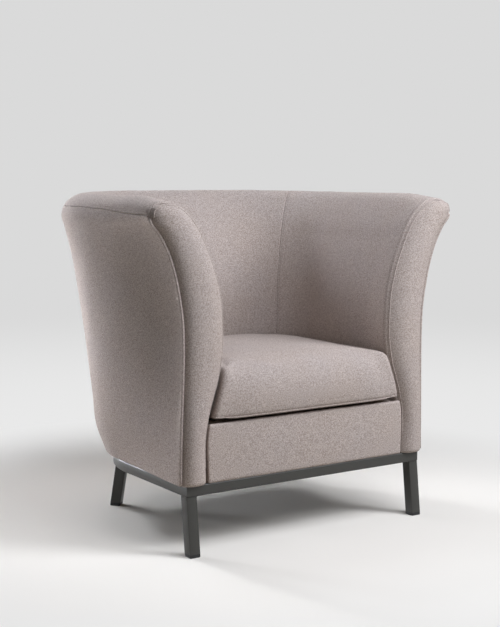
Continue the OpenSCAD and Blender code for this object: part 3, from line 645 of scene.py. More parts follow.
@dataclass
class Shell:
    """Covers, foam and wadding of the shell."""

    form: ShellForm = field(default_factory=ShellForm)
    inside_seam: float = 1.445
    outside_seam: float = 1.556
    seam_gap: float = 0.0006
    lip_gap: float = 0.02
    front_at: float = 11.1
    foam_first: int = 12
    rim_foam: float = 18.0
    inside_foam: float = 32.0
    wadding: float = 5.0
    pad_depth: float = 2.3
    pad_space: float = 0.8
    pad_gap: float = 0.004
    turned_in: float = 5.0

    def build(self, cloth: Material, thread: Material) -> None:
        """Builds the six covers and their stitching."""
        topstitched = Edge(roll=2.4, sink=2.2, stitch_at=6.0, stitch_sink=1.0)
        inside = {
            "k0": SEAM + self.lip_gap, "k1": DECK, "high": Edge(sink=0),
            "low": Edge(roll=2.6, sink=2.6, stitch_at=5.4, stitch_sink=0.5),
        }
        outside = {
            "k0": 0, "k1": SEAM - self.lip_gap, "low": Edge(roll=5, sink=2), "high": Edge(roll=2.6, sink=2.6),
            "pitch": 5.0, "row_pitch": 6.0, "pucker": 0.55,
        }
        inside_edges = (Edge(roll=4.6, sink=4.0, stitch_at=8.0, stitch_sink=1.0), topstitched)
        faces = (
            ("inside", self.inside_seam, inside, inside_edges, (3, 31)),
            ("outside", self.outside_seam, outside, (Edge(roll=4, sink=2.6), Edge()), (9, 37)),
        )
        for side, prefix in ((Side.LEFT, "left"), (Side.RIGHT, "right")):
            for face, seam, form, edges, seeds in faces:
                span = (self.front_at / self.form.bend_y, seam - self.seam_gap)
                if side is Side.RIGHT:
                    span, edges = mirrored_span(span), edges[::-1]
                seed = seeds[0] + side.value
                self.cover(f"{prefix}_{face}_panel", f"{prefix}_{face}_cover", span, edges, form, seed, cloth)
        for face, seam, form, _, seeds in faces:
            start = seam + self.seam_gap
            span = (start, LAST - start)
            self.cover(
                f"back_{face}_panel", f"{face}_back_cover", span, (Edge(), Edge()), form, seeds[1], cloth
            )
        self.stitch(thread)

    def cover(
        self, name: str, node: str, span: tuple[float, float], edges: tuple[Edge, Edge],
        form: dict[str, float | Edge], seed: int, cloth: Material,
    ) -> None:
        """Builds one cover.

        Args:
            name: The piece's name.
            node: The CAD node it replaces.
            span: Its first and last station.
            edges: Its edges at those stations.
            form: What all covers on its face of the shell share.
            seed: Number that picks its unevenness.
            cloth: Its material.
        """
        panel = ShellPanel(name, *span, form=self.form, first=edges[0], last=edges[1], seed=seed, **form)
        finish_piece(panel.build(), Body.FRAME, cloth, (node,))

    def stitch(self, thread: Material) -> None:
        """Topstitching beside the inside seams and behind the arm fronts."""
        k = np.linspace(SEAM + 0.6, DECK - 0.4, 220)
        front_q, nudge = self.front_at / self.form.bend_y, 0.01
        for name, q, beyond in (
            ("left_back_seam_stitches", self.inside_seam, -6.0),
            ("right_back_seam_stitches", LAST - self.inside_seam, 6.0),
            ("left_arm_edge_stitches", front_q, 8.0),
            ("right_arm_edge_stitches", LAST - front_q, -8.0),
        ):
            near = np.full_like(k, q)
            step = self.form.skin(k, near + nudge) - self.form.skin(k, near - nudge)
            q = near + beyond * 2 * nudge * MM / np.linalg.norm(step, axis=1)
            out = unit(self.form.skin(k, q, -1.0) - self.form.skin(k, q))
            piece = Stitches(name).build(self.form.skin(k, q, 0.45), out)
            finish_piece(piece, Body.FRAME, thread)

    def foam_depth(self, k: Array) -> Array:
        """Depth of the foam's inner face: thin over the rim, full on the arms and back."""
        grown = smooth((k - CREST - 1) / (DECK - CREST - 8))
        return self.pad_depth + self.rim_foam + (self.inside_foam - self.rim_foam) * grown

    def layer(self, name: str, q: tuple[float, float], k: tuple[float, float], under: float | None) -> Piece:
        """Layer of padding under the covers.

        Args:
            name: The object's name.
            q: Its first and last station.
            k: Its first and last place along the section.
            under: Depth of its inner face, or None for the foam's.

        Returns:
            The layer.
        """
        ks = np.linspace(k[0], k[1], int((k[1] - k[0]) * 3) + 1)
        qs = np.linspace(q[0], q[1], max(8, int((q[1] - q[0]) * 30)))
        kk, qq = np.meshgrid(ks, qs, indexing="ij")
        outer = self.pad_depth + self.pad_space + self.form.hollow(kk, qq, 1.0)
        inner = (self.foam_depth(kk) if under is None else under) + self.form.hollow(kk, qq)
        return slab(name, self.form.skin(kk, qq, outer), self.form.skin(kk, qq, inner))

    def pad(self, foam: Material, fibre: Material) -> None:
        """Builds the foam inside and the wadding outside, under the covers."""
        front_q = (self.front_at + self.turned_in) / self.form.bend_y
        arm = (front_q, self.inside_seam - self.pad_gap)
        back = (self.inside_seam + self.pad_gap, LAST - self.inside_seam - self.pad_gap)
        for name, q, node in (
            ("left_arm_padding", arm, "left_arm_foam"),
            ("right_arm_padding", mirrored_span(arm), "right_arm_foam"),
            ("back_padding", back, "inside_back_foam"),
        ):
            piece = self.layer(name, q, (self.foam_first, DECK), None)
            finish_piece(piece, Body.FRAME, foam, (node,))
        arm = (front_q, self.outside_seam - self.pad_gap)
        back = (self.outside_seam + self.pad_gap, LAST - self.outside_seam - self.pad_gap)
        for place, q in (("left", arm), ("back", back), ("right", mirrored_span(arm))):
            piece = self.layer(f"{place}_outside_wadding", q, (0.1, SEAM - 1), self.pad_depth + self.wadding)
            finish_piece(piece, Body.FRAME, fibre, ("outside_wadding",))


@dataclass
class ArmFronts:
    """The crowned facing of each arm front, its foam and its piping."""

    form: ShellForm = field(default_factory=ShellForm)
    crown: float = 17.0
    outer_edge: float = 9.0
    outer_tuck: float = 5.4
    inner_tuck: float = 3.0
    rise_share: float = 0.42
    hem: float = 9.0
    hem_sink: float = 3.2
    inner_edge: float = 10.8
    piping_d: float = 7.0
    piping_y: float = 5.6
    ridge_d: float = 3.2
    ridge_inset: float = 8.0
    ridge_first: float = 10.7
    ridge_sunk: float = 0.05
    top: float = 13.0
    turn: float = 10.0
    foot_h: float = 9.0
    foot_share: float = 0.72
    post_y: float = 11.4
    pad_under: float = 3.0
    cloth_t: float = 2.0
    far: float = 900.0

    def points(self, s: Array, w: Array, under: float, inset: float) -> Array:
        """Points of the left facing.

        Args:
            s: Places from the bottom, 0, to the crest, 13, and up to 1 more for the hem.
            w: Shares of the way from the outer edge to the inner edge, with the hems outside 0 and 1.
            under: Depth under the face in millimetres.
            inset: Distance inside the outline in millimetres.

        Returns:
            Points in metres.
        """
        shape = np.shape(s)
        s, w = np.ravel(s), np.ravel(w)
        hem = np.maximum(np.maximum(w - 1, -w), s - self.top).clip(0, 1)
        s, w = np.minimum(s, self.top), np.clip(w, 0, 1)
        zero = np.zeros_like(s)
        outer_tuck = self.outer_tuck + (self.inner_tuck - self.outer_tuck) * smooth((s - 10.2) / 0.8)
        pair = []
        for k, tuck in ((s, outer_tuck), (BOTTOM - s, self.inner_tuck)):
            depth = inset + tuck + self.hem_sink * smooth(hem * 3)
            pair.append(self.form.section(k, zero) + self.form.inward(k, zero) * depth[:, None])
        p = pair[0] + (pair[1] - pair[0]) * w[:, None]
        edge = self.outer_edge + (self.inner_edge - self.outer_edge) * np.maximum(
            smooth(w), smooth((s - self.turn) / 2)
        )
        rise = quarter_round(w / self.rise_share)
        fall = 1 - np.clip((w - self.rise_share) / (1 - self.rise_share), 0, 1) ** 2.6
        end = np.clip((s - self.turn) / (self.top - self.turn), 0, 1)
        foot = self.foot_share + (1 - self.foot_share) * quarter_round(p[:, 1] / self.foot_h)
        bulge = (1 - end**3.4) * rise * fall * foot
        y = edge - (self.crown + edge - under) * bulge
        y += under * (1 - bulge)
        y += self.hem * hem - self.form.front_lean * smooth(p[:, 1] / self.form.height)
        return self.placed(p, y).reshape(*shape, 3)

    def placed(self, p: Array, y: Array | float) -> Array:
        """Points of the left arm front in metres, from section places and distances behind it."""
        x, z = -self.form.side_x - p[:, 0], self.form.shell_z + p[:, 1]
        return np.stack([x, np.broadcast_to(y, x.shape) + self.form.front_y, z], axis=1) * MM

    def lattice(self) -> tuple[Array, Array]:
        """Places of the facing's lattice, close together beside its edges."""
        s = np.concatenate([
            np.linspace(0, 0.12, 5), np.linspace(0.2, 9.8, 60), np.linspace(10, 12.6, 26),
            12.6 + 0.4 * np.sin(np.linspace(0, math.pi / 2, 9)[1:]), [13.15, 13.33, 14.0],
        ])
        w = (1 - np.cos(np.linspace(0, math.pi, 41))) / 2
        w = np.concatenate([[-0.45, -0.15], w, [1.15, 1.33, 2.0]])
        return np.meshgrid(s, w, indexing="ij")

    def build(self, cloth: Material, foam: Material) -> None:
        """Builds both arm fronts."""
        s, w = self.lattice()
        facing = slab(
            "left_arm_front", self.points(s, w, 0, 0.2), self.points(s, w, self.cloth_t, self.cloth_t + 0.2)
        )
        padding, piping, ridge = self.padding(s, w), self.piping(), self.ridge(facing)
        finish_piece(ridge, Body.FRAME, cloth)
        finish_piece(mirrored_copy(ridge, "right_arm_edge_ridge"), Body.FRAME, cloth)
        for left, name, node, slot, material, fill in (
            (facing, "right_arm_front", "facing_cover", "upholstery", cloth, 0.9),
            (padding, "right_arm_front_padding", "facing_foam", "foam", foam, 1.0),
            (piping, "right_arm_welt", "piping", "upholstery", cloth, None),
        ):
            right = mirrored_copy(left, name)
            finish_piece(left, Body.FRAME, material, (f"left_{node}",))
            finish_piece(right, Body.FRAME, material, (f"right_{node}",))

    def padding(self, s: Array, w: Array) -> Piece:
        """Foam of the left facing, flat where it lies against the post.

        Args:
            s: Places of the facing's lattice from its bottom.
            w: Its shares of the way from the outer edge to the inner edge.

        Returns:
            The foam, which stops short of the hems.
        """
        within = (slice(None, -13), slice(6, -7))
        outer = self.points(s[within], w[within], self.pad_under, self.piping_d + 1)
        flat = outer.copy()
        lean = self.form.front_lean * smooth((flat[..., 2] / MM - self.form.shell_z) / self.form.height)
        flat[..., 1] = (self.post_y - 0.6 + self.form.front_y - lean) * MM
        outer[..., 1] = np.minimum(outer[..., 1], flat[..., 1] - 2 * MM)
        return slab("left_arm_front_padding", outer, flat)

    def ridge(self, facing: Piece) -> Piece:
        """Narrow ridge that the sewn allowance makes round the facing's top and inner side.

        Args:
            facing: The left facing, on whose face the ridge lies.

        Returns:
            The ridge.
        """
        ks = np.concatenate([np.linspace(self.ridge_first, 15, 60), np.linspace(15.05, BOTTOM - 0.3, 120)])
        zero = np.zeros_like(ks)
        starts = self.placed(
            self.form.section(ks, zero) + self.form.inward(ks, zero) * self.ridge_inset,
            -self.far - self.form.front_y,
        )
        bm = bmesh.new()
        bm.from_mesh(facing.data)
        face = BVHTree.FromBMesh(bm)
        bm.free()
        found = [face.ray_cast(Vector(start), Vector((0, 1, 0)))[0] for start in starts]
        middle = np.array([spot for spot in found if spot]) + (0, self.ridge_d * self.ridge_sunk * MM, 0)
        run = unit(np.gradient(middle, axis=0))
        side = unit(np.cross(run, (0.0, -1.0, 0.0)))
        radius = np.full(len(middle), self.ridge_d / 2) * MM
        return tube("left_arm_edge_ridge", middle, (side, np.cross(side, run)), radius, 8)

    def piping(self) -> Piece:
        """Piping of the left arm front, a covered cord swept along the outer edge."""
        ks = np.concatenate([np.linspace(0.05, 10.0, 90), np.linspace(10.05, 10.75, 10)])
        zero = np.zeros_like(ks)
        inward = self.form.inward(ks, zero)
        end = smooth((ks - 10.1) / 0.65)
        p = self.form.section(ks, zero) + inward * (self.piping_d / 2 - 1.9 + 3.0 * end)[:, None]
        lean = -self.form.front_lean * smooth(p[:, 1] / self.form.height)
        middle = self.placed(p, self.piping_y + lean + 4.5 * end)
        level = np.stack([-inward[:, 0], zero, inward[:, 1]], axis=1)
        back = np.stack([zero, zero + 1, zero], axis=1)
        return tube("left_arm_welt", middle, (level, back), self.piping_d / 2 * (1 - 0.45 * end) * MM, 14)


# Seat


@dataclass
class SeatFront:
    """Padded panel across the front of the seat, under the cushion."""

    form: ShellForm = field(default_factory=ShellForm)
    front: float = -3.0
    back: float = 39.0
    deck_z: float = 307.0
    lip_r: float = 6.0
    sunk_d: float = 4.0
    wrap_d: float = 12.0
    crown: float = 2.6
    side_gap: float = 0.5
    side_reach: float = 3.0
    side_open_y: float = 3.0
    side_open_run: float = 6.0
    span: float = 566.0
    roll: float = 4.6
    rolled: float = 2.2
    foot_h: float = 7.0
    foot_d: float = 4.4

    def profile(self) -> Array:
        """Points of the panel's section, y and z, from the bottom front over the lip to the back."""
        turn = np.linspace(0, math.pi / 2, 13)
        lip = np.stack([
            self.front + self.lip_r - self.lip_r * np.cos(turn),
            self.deck_z - self.lip_r + self.lip_r * np.sin(turn),
        ], axis=1)
        sunk_z = self.deck_z - self.sunk_d
        rear = [[self.front + 14, sunk_z], [self.back - 8, sunk_z], [self.back, self.deck_z]]
        raw = np.concatenate([[[self.front, self.form.shell_z]], lip, rear])
        run = along(raw)
        places = np.concatenate([[0, 0.6, 1.6, 3, 5, 8, 12], np.linspace(16, run[-1], 46)])
        return at_lengths(raw, run, places)

    def surface(self, under: float, wrap: float = 0.0) -> Array:
        """Lattice of the panel.

        Args:
            under: Depth under its face in millimetres.
            wrap: How far the cover turns in at its sides.

        Returns:
            Points in metres.
        """
        columns = nominal_lines(self.span, (0, 0.5, 1.2, 2.4, 4, 6, 9, 13), 8.0)
        turned = np.zeros_like(columns)
        if wrap:
            shares = np.array([1.0, 0.6, 0.2])
            columns = np.concatenate([[0.0] * 3, columns, [self.span] * 3])
            turned = wrap * np.concatenate([shares, turned, shares[::-1]])
        share = columns / self.span * 2 - 1
        rolled = self.rolled * (1 - quarter_round(np.minimum(columns, self.span - columns) / self.roll))
        profile = self.profile()
        step = unit(np.gradient(profile, axis=0))
        points = np.zeros((len(profile), len(columns), 3))
        for j, ((y, z), climb) in enumerate(zip(profile, along(profile))):
            q = np.clip(y, self.form.side_front, self.back) / self.form.bend_y
            half = self.form.inner_x(z, q) - self.side_gap
            half += self.side_reach * (1 - smooth((y - self.side_open_y) / self.side_open_run))
            foot = self.foot_d * (1 - quarter_round(climb / self.foot_h))
            face = smooth(1 - (y - self.front) / 16)
            swell = self.crown * face * (1 - share**4) * math.sin(math.pi * min(climb / 150, 1)) ** 0.7
            uneven = 0.35 * waves(columns + 0.4 * z, 120, 51) * face
            depth = under + turned + (rolled + foot - swell - uneven)
            points[j, :, 0] = share * (half - under)
            points[j, :, 1] = y + step[j, 1] * depth + self.form.front_y
            points[j, :, 2] = z - step[j, 0] * depth
        return points * MM

    def build(self, cloth: Material, foam: Material) -> None:
        """Builds the panel's cover and its foam."""
        cover = slab("seat_front_panel", self.surface(0, self.wrap_d), self.surface(2.0, self.wrap_d))
        finish_piece(cover, Body.FRAME, cloth, ("seat_front_cover",))
        pad = slab("seat_front_padding", self.surface(3.2), self.surface(11.0))
        finish_piece(pad, Body.FRAME, foam, ("seat_front_foam",))


def round_sheet(
    name: str, form: ShellForm, plan: tuple[float, float, float], y0: float, z: tuple[float, float],
    sag: float = 0.0,
) -> Piece:
    """Flat layer with straight sides, round back corners and a straight back.

    Args:
        name: The object's name.
        form: The shell's form, for its place.
        plan: Half the straight back, the middle of the round corners in y, and their radius.
        y0: Front edge.
        z: Top and underside heights.
        sag: How far it hangs down in its middle.

    Returns:
        The layer as an object.
    """
    bend_x, bend_y, radius = plan
    turn = np.linspace(0, math.pi / 2, 22)[1:]
    ys = np.concatenate([np.linspace(y0, bend_y, 26), bend_y + radius * np.sin(turn)])
    half = bend_x + np.sqrt(np.maximum(radius**2 - np.maximum(ys - bend_y, 0) ** 2, 0))
    share = np.linspace(-1, 1, 41)
    x = half[:, None] * share[None, :]
    y = np.repeat(ys[:, None], len(share), axis=1)
    depth = (ys - y0) / (ys[-1] - y0)
    hang = sag * (1 - share[None, :] ** 2) * np.sin(math.pi * depth)[:, None]
    faces = [np.stack([x, y + form.front_y, height - hang], axis=2) * MM for height in z]
    return slab(name, *faces)


@dataclass
class SeatDeck:
    """What carries the cushion: webbing, foam and cloth, and the dust cover below."""

    form: ShellForm = field(default_factory=ShellForm)
    deck_z: float = 307.0
    deck_r: float = 171.4
    deck_front: float = 39.4
    dust_sag: float = 4.0
    strap_w: float = 50.0
    strap_t: float = 2.0
    strap_pitch: float = 80.0
    strap_bend_x: float = 86.0
    strap_bend_r: float = 163.0
    counts: tuple[int, int] = (5, 4)

    def straps(self, cross: bool) -> Piece:
        """The straps that run one way, each a thin band of its own length."""
        name, node = (
            ("straps_across", "webbing_crosswise") if cross else ("straps_lengthwise", "webbing_lengthwise")
        )
        low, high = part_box(node)
        count = self.counts[cross]
        width = self.strap_w * MM
        bm = bmesh.new()
        for n in range(count):
            made = bmesh.ops.create_grid(bm, x_segments=24, y_segments=2, size=0.5)
            for vert in made["verts"]:
                run, side, z = vert.co.x + 0.5, vert.co.y * width, (low.z + high.z) / 2
                if cross:
                    middle = low.y + width / 2 + n / (count - 1) * (high.y - low.y - width)
                    vert.co = (low.x + run * (high.x - low.x), middle + side, z)
                else:
                    middle = (n - (count - 1) / 2) * self.strap_pitch * MM
                    radius = self.strap_bend_r * MM
                    inset = max(0.0, abs(middle) + width / 2 - self.strap_bend_x * MM)
                    end = high.y - (radius - math.sqrt(max(radius**2 - inset**2, 0.0)))
                    vert.co = (middle + side, low.y + run * (end - low.y), z)
        bmesh.ops.solidify(bm, geom=bm.faces[:], thickness=self.strap_t * MM * 0.5)
        bmesh.ops.recalc_face_normals(bm, faces=bm.faces)
        return object_from(bm, name, shade_smooth=False)

    def build(
        self, webbing: Material, foam: Material, cloth: Material,
        dust: Material,
    ) -> None:
        """Builds the deck from the webbing up, and the dust cover."""
        for cross, node in ((False, "webbing_lengthwise"), (True, "webbing_crosswise")):
            finish_piece(self.straps(cross), Body.FRAME, webbing, (node,))
        plan = (self.form.bend_x, self.form.bend_y, self.deck_r)
        piece = round_sheet("deck_padding", self.form, plan, self.deck_front, (305.2, 289.6))
        finish_piece(piece, Body.FRAME, foam, ("deck_foam",))
        piece = round_sheet("deck_top_cloth", self.form, plan, self.deck_front, (self.deck_z, 305.5))
        finish_piece(piece, Body.FRAME, cloth, ("deck_cloth",))
        piece = round_sheet(
            "under_seat_cloth", self.form, (50.0, 296.0, 239.0), 61.0, (167.0, 166.0), self.dust_sag
        )
        finish_piece(piece, Body.FRAME, dust, ("dust_cover",))


# How far the cushion's front swells, as a share of its most, at shares of its height
FRONT_SWELL = np.array([[0, 0.25], [0.05, 0.5], [0.12, 0.74], [0.3, 0.97], [0.5, 1], [0.7, 0.82], [1, 0.4]])


@dataclass
class CushionForm:
    """Outline and heights of the loose seat cushion."""

    form: ShellForm = field(default_factory=ShellForm)
    gap: float = 5.0
    side_share: float = 0.34
    front: float = -3.3
    front_swell: float = 15.0
    corner_ease: float = 0.55
    front_r: float = 8.0
    rear_r: float = 161.94
    pull: float = 4.0
    bottom_z: float = 307.3
    seam_h: float = 14.0
    thickness: float = 128.0
    crown: float = 14.0
    corner_growth: float = 0.25
    deep_inset: float = 31.0
    ease_from: float = 0.68
    front_bow: float = 1.5
    bulge_power: float = 2.2

    @property
    def mid_y(self) -> float:
        """Middle of the cushion from front to back."""
        return (self.front + self.form.bend_y + self.rear_r) / 2

    def outline(self, z: float, inset: float) -> list[Array]:
        """Right half of the cushion's outline at a height.

        Args:
            z: Height above the floor.
            inset: Distance inside the widest outline.

        Returns:
            Three lines of points: front, side and back, which meet in the middle of the corners.
        """
        half = float(self.form.inner_x(z, 0.0)) - self.gap
        swell = self.front_swell * np.interp((z - self.bottom_z) / self.thickness, *FRONT_SWELL.T)
        beside = inset * self.side_share if inset < self.deep_inset else inset - 20
        x, fr = half - beside, self.front_r + self.corner_growth * inset
        rear = min(self.form.bend_x + self.rear_r, half) - beside
        turn = np.linspace(-math.pi / 2, 0, 25)
        ease = self.corner_ease * swell
        front = self.front - swell + inset + ease
        corner = np.stack([x - fr + fr * np.cos(turn), front + fr + fr * np.sin(turn)], axis=1)
        turn = np.linspace(0, math.pi / 2, 61)
        radius = self.rear_r - beside
        rear_arc = np.stack(
            [rear - radius + radius * np.cos(turn), self.form.bend_y + radius * np.sin(turn)], axis=1
        )
        blend = self.form.inside_blend * self.form.bend_y
        knots = np.array([
            corner[-1], [rear + 0.2 * (x - rear), blend],
            [rear - self.pull, (self.form.bend_y + blend) / 2], rear_arc[0],
        ])
        side = curve(knots, np.linspace(0, 3, 50))
        share = np.linspace(1, 0, 24)
        back = np.stack([share * rear_arc[-1][0], rear_arc[-1][1] - self.pull * (1 - share**2)], axis=1)
        share = np.linspace(0, 1, 34)
        eased = ease * (1 - smooth((share - self.ease_from) / (1 - self.ease_from)))
        eased += self.front_bow * (1 - share**2)
        start = np.stack([share * corner[0][0], corner[0][1] - eased], axis=1)
        return [
            np.concatenate([start, corner[1:13]]),
            np.concatenate([corner[12:], side[1:], rear_arc[1:31]]),
            np.concatenate([rear_arc[30:], back[1:]]),
        ]

    def within(self, x: float, y: float, lines: list[tuple[Array, Array]]) -> tuple[Array, float]:
        """Point inside an outline that answers to a point of a square.

        Args:
            x: Place across, from -1 to 1.
            y: Place from front, -1, to back, 1.
            lines: The outline's three lines, each with its lengths.

        Returns:
            The point in plan, and how high the crown is there, from 0 at the edge to 1.
        """
        share = max(abs(x), abs(y))
        middle = np.array([0.0, self.mid_y])
        edge = self.at(x, y, lines) if share > 1e-9 else middle
        return middle + (edge - middle) * share, 1 - share**self.bulge_power

    def at(self, x: float, y: float, lines: list[tuple[Array, Array]]) -> Array:
        """Point of an outline that answers to a point on the edge of a square.

        Args:
            x: Place across, from -1 to 1.
            y: Place from front, -1, to back, 1.
            lines: The outline's three lines, each with its lengths.

        Returns:
            The point in plan.
        """
        if abs(x) < abs(y) - 1e-9:
            which, share = (0, abs(x / y)) if y < 0 else (2, 1 - abs(x / y))
        else:
            which, share = 1, (y / abs(x) + 1) / 2
        points, run = lines[which]
        spot = at_lengths(points, run, share * run[-1])
        return np.array([math.copysign(spot[0], x), spot[1]])

    def measured(self, z: float, inset: float) -> list[tuple[Array, Array]]:
        """The outline's lines with their lengths."""
        return [(line, along(line)) for line in self.outline(z, inset)]


@dataclass
class SeatCushion:
    """Loose cushion: covers, fibre layer, foam core and seam stitching. CushionZip builds its zip."""

    shape: CushionForm = field(default_factory=CushionForm)
    cells: int = 60
    seam_ring: int = 7
    pressure: float = 4.0
    frames: int = 20
    cap: float = 5.0
    crisp_power: float = 1.9
    spread_power: float = 1.3
    foam_inset: float = 6.5
    foam_drop: float = 18.0
    foam_cells: int = 30
    fibre_inset: float = 34.0
    fibre_drop: float = 3.5
    fibre_t: float = 13.0
    cloth_t: float = 2.0
    dent_d: float = 0.6
    crease_y: float = -355.0
    crease_run: float = 24.0
    creases: tuple[tuple[float, float, float, float], ...] = (
        (-246.0, 418.0, 14.0, 2.6), (-240.0, 402.0, 11.0, 2.0),
    )

    def side_profile(self, inset: float, drop: float) -> Array:
        """Heights and insets up the side, from the bottom's edge to the top's edge."""
        s = self.shape
        base, top = s.bottom_z, s.bottom_z + s.thickness - drop
        seam = base + s.seam_h
        low = np.array([
            [0, 48.0], [4.4, 39.0], [6.8, 18.0], [7.8, 6.0], [8.8, 1.8], [10.6, 0.2], [s.seam_h - 1.2, 0.7],
        ])
        high = np.array([
            [0.0, 2.2], [0.02, 0.6], [0.05, 0.1], [0.2, -0.2], [0.4, 0.0], [0.58, 1.0], [0.72, 3.6],
            [0.83, 8.4], [0.91, 14.5], [0.965, 21.0], [1.0, 30.0],
        ])
        return np.concatenate([low + (base, inset), high * (top - seam, 1) + (seam, inset)])

    def block(self, inset: float, drop: float, cells: int) -> Mesh:
        """Closed crowned cushion.

        Args:
            inset: Distance inside the cover on every side.
            drop: Distance that its top lies lower.
            cells: Number of cells across its top.

        Returns:
            The mesh.
        """
        s = self.shape
        rows = self.side_profile(inset, drop)
        bm = bmesh.new()
        bmesh.ops.create_grid(bm, x_segments=cells, y_segments=cells, size=1.0)
        raised = new_verts(bmesh.ops.extrude_face_region(bm, geom=bm.faces[:]))
        bmesh.ops.translate(bm, verts=raised, vec=(0, 0, 1))
        uprights = [e for e in bm.edges if abs(e.verts[0].co.z - e.verts[1].co.z) > 0.5]
        bmesh.ops.subdivide_edges(bm, edges=uprights, cuts=len(rows) - 2, use_grid_fill=True)
        seam = rows[self.seam_ring, 0]
        height = rows[-1, 0] - seam
        share = np.clip((rows[:, 0] - seam) / height, 0, 1)
        raised = np.maximum(rows[:, 0], seam + height * (1 - (1 - share) ** self.crisp_power))
        rings = [
            (s.measured(z, step), s.measured(lifted, step), z, lifted)
            for (z, step), lifted in zip(rows, raised)
        ]
        last = len(rows) - 1
        for vert in bm.verts:
            x, y = (math.copysign(1 - (1 - abs(v)) ** self.spread_power, v) for v in (vert.co.x, vert.co.y))
            ring = round(vert.co.z * last)
            soft, crisp, low, lifted = rings[ring]
            if ring in (0, last):
                plan, rise = s.within(x, y, soft)
                z = low + (s.crown * rise if ring else 0.0)
            else:
                beside = float(self.beside(x, y))
                plan = s.at(x, y, soft) * (1 - beside) + s.at(x, y, crisp) * beside
                z = low + (lifted - low) * beside
            vert.co = (plan[0] * MM, (plan[1] + s.form.front_y) * MM, z * MM)
        bmesh.ops.recalc_face_normals(bm, faces=bm.faces)
        return bm

    @staticmethod
    def beside(x: float, y: float) -> Array:
        """0 over the middle of the front, 1 on the sides and back, where the edge is crisper."""
        return smooth((abs(x / y) - 0.8) / 0.2) if y < -abs(x) else np.array(1.0)

    def inflate(self, piece: Piece) -> None:
        """Lets the cover swell under pressure, as a filled cushion does, and keeps the result.

        Args:
            piece: The closed cover. Points move outward only, and no further than the cap.
        """
        rest = np.array([v.co for v in piece.data.vertices])
        low = rest[:, 2].min()
        held = piece.vertex_groups.new(name="held")
        top = low + (self.shape.seam_h + 1.5) * MM
        held.add([i for i, co in enumerate(rest) if co[2] < top], 1.0, "REPLACE")
        cloth = piece.modifiers.new("swell", "CLOTH")
        for name, value in (
            ("use_pressure", True), ("uniform_pressure_force", self.pressure), ("mass", 0.4),
            ("tension_stiffness", 25), ("compression_stiffness", 25), ("bending_stiffness", 1.5),
            ("vertex_group_mass", "held"), ("quality", 6),
        ):
            setattr(cloth.settings, name, value)
        cloth.settings.effector_weights.gravity = 0
        cloth.collision_settings.use_collision = False
        scene = bpy.context.scene
        for number in range(1, self.frames + 1):
            scene.frame_set(number)
        shown = piece.evaluated_get(bpy.context.evaluated_depsgraph_get())
        moved = np.array([v.co for v in shown.data.vertices]) - rest
        piece.modifiers.remove(cloth)
        scene.frame_set(1)
        out = np.array([v.normal for v in piece.data.vertices])
        moved -= np.minimum((moved * out).sum(axis=1), 0.0)[:, None] * out
        far = np.linalg.norm(moved, axis=1)
        LOG.info("cushion swells by up to %.1f mm", far.max() / MM)
        limit = self.cap * MM * np.tanh(far / (self.cap * MM))
        moved *= (limit / np.maximum(far, 1e-9))[:, None]
        for vert, co in zip(piece.data.vertices, rest + moved):
            vert.co = co

    def build(
        self, cloth: Material, thread: Material, foam: Material,
        fibre: Material,
    ) -> None:
        """Builds the cushion's covers and what fills them."""
        bm = in_order(self.block(0.0, 0.0, self.cells))
        seam = self.side_profile(0.0, 0.0)[self.seam_ring, 0]
        side = bm.faces.layers.int.new("below")
        for face in bm.faces:
            face[side] = int(face.calc_center_median().z < seam * MM - 0.0002)
        whole = object_from(bm, "cushion_whole")
        self.inflate(whole)
        self.uneven(whole)
        for name, below, node in (
            ("cushion_top_panel", 0, "cushion_top_cover"), ("cushion_under_panel", 1, "cushion_bottom_cover"),
        ):
            piece = self.half_cover(whole, name, below)
            finish_piece(piece, Body.CUSHION, cloth, (node,))
        bpy.data.objects.remove(whole)
        core = object_from(self.block(self.foam_inset, self.foam_drop, self.foam_cells), "cushion_foam")
        finish_piece(core, Body.CUSHION, foam, ("cushion_core",))
        self.fibre_layer(fibre)
        self.stitch(thread, seam + 5.5)

    def uneven(self, piece: Piece) -> None:
        """Adds the slight hollows and the two small creases that a sat-on cushion has."""
        for vert in piece.data.vertices:
            x, y, z = vert.co / MM
            if z < self.shape.bottom_z + self.shape.seam_h + 8:
                continue
            dent = 0.9 * math.sin(x / 47 + 1.3) * math.sin(y / 61 + 0.4) + 0.5 * math.sin(x / 23 + y / 31)
            vert.co.z += dent * MM * self.dent_d
            for middle, height, reach, depth in self.creases:
                near = math.exp(-(((x - middle) / reach) ** 2) - ((y - self.crease_y) / self.crease_run) ** 2)
                line = (z - height) - 0.75 * (x - middle)
                furrow, ridge = math.exp(-((line / 3.4) ** 2)), math.exp(-(((line - 7) / 4) ** 2))
                fold = depth * near * (1.2 * furrow - 0.6 * ridge)
                vert.co.y += fold * MM
                vert.co.z -= 0.6 * fold * MM

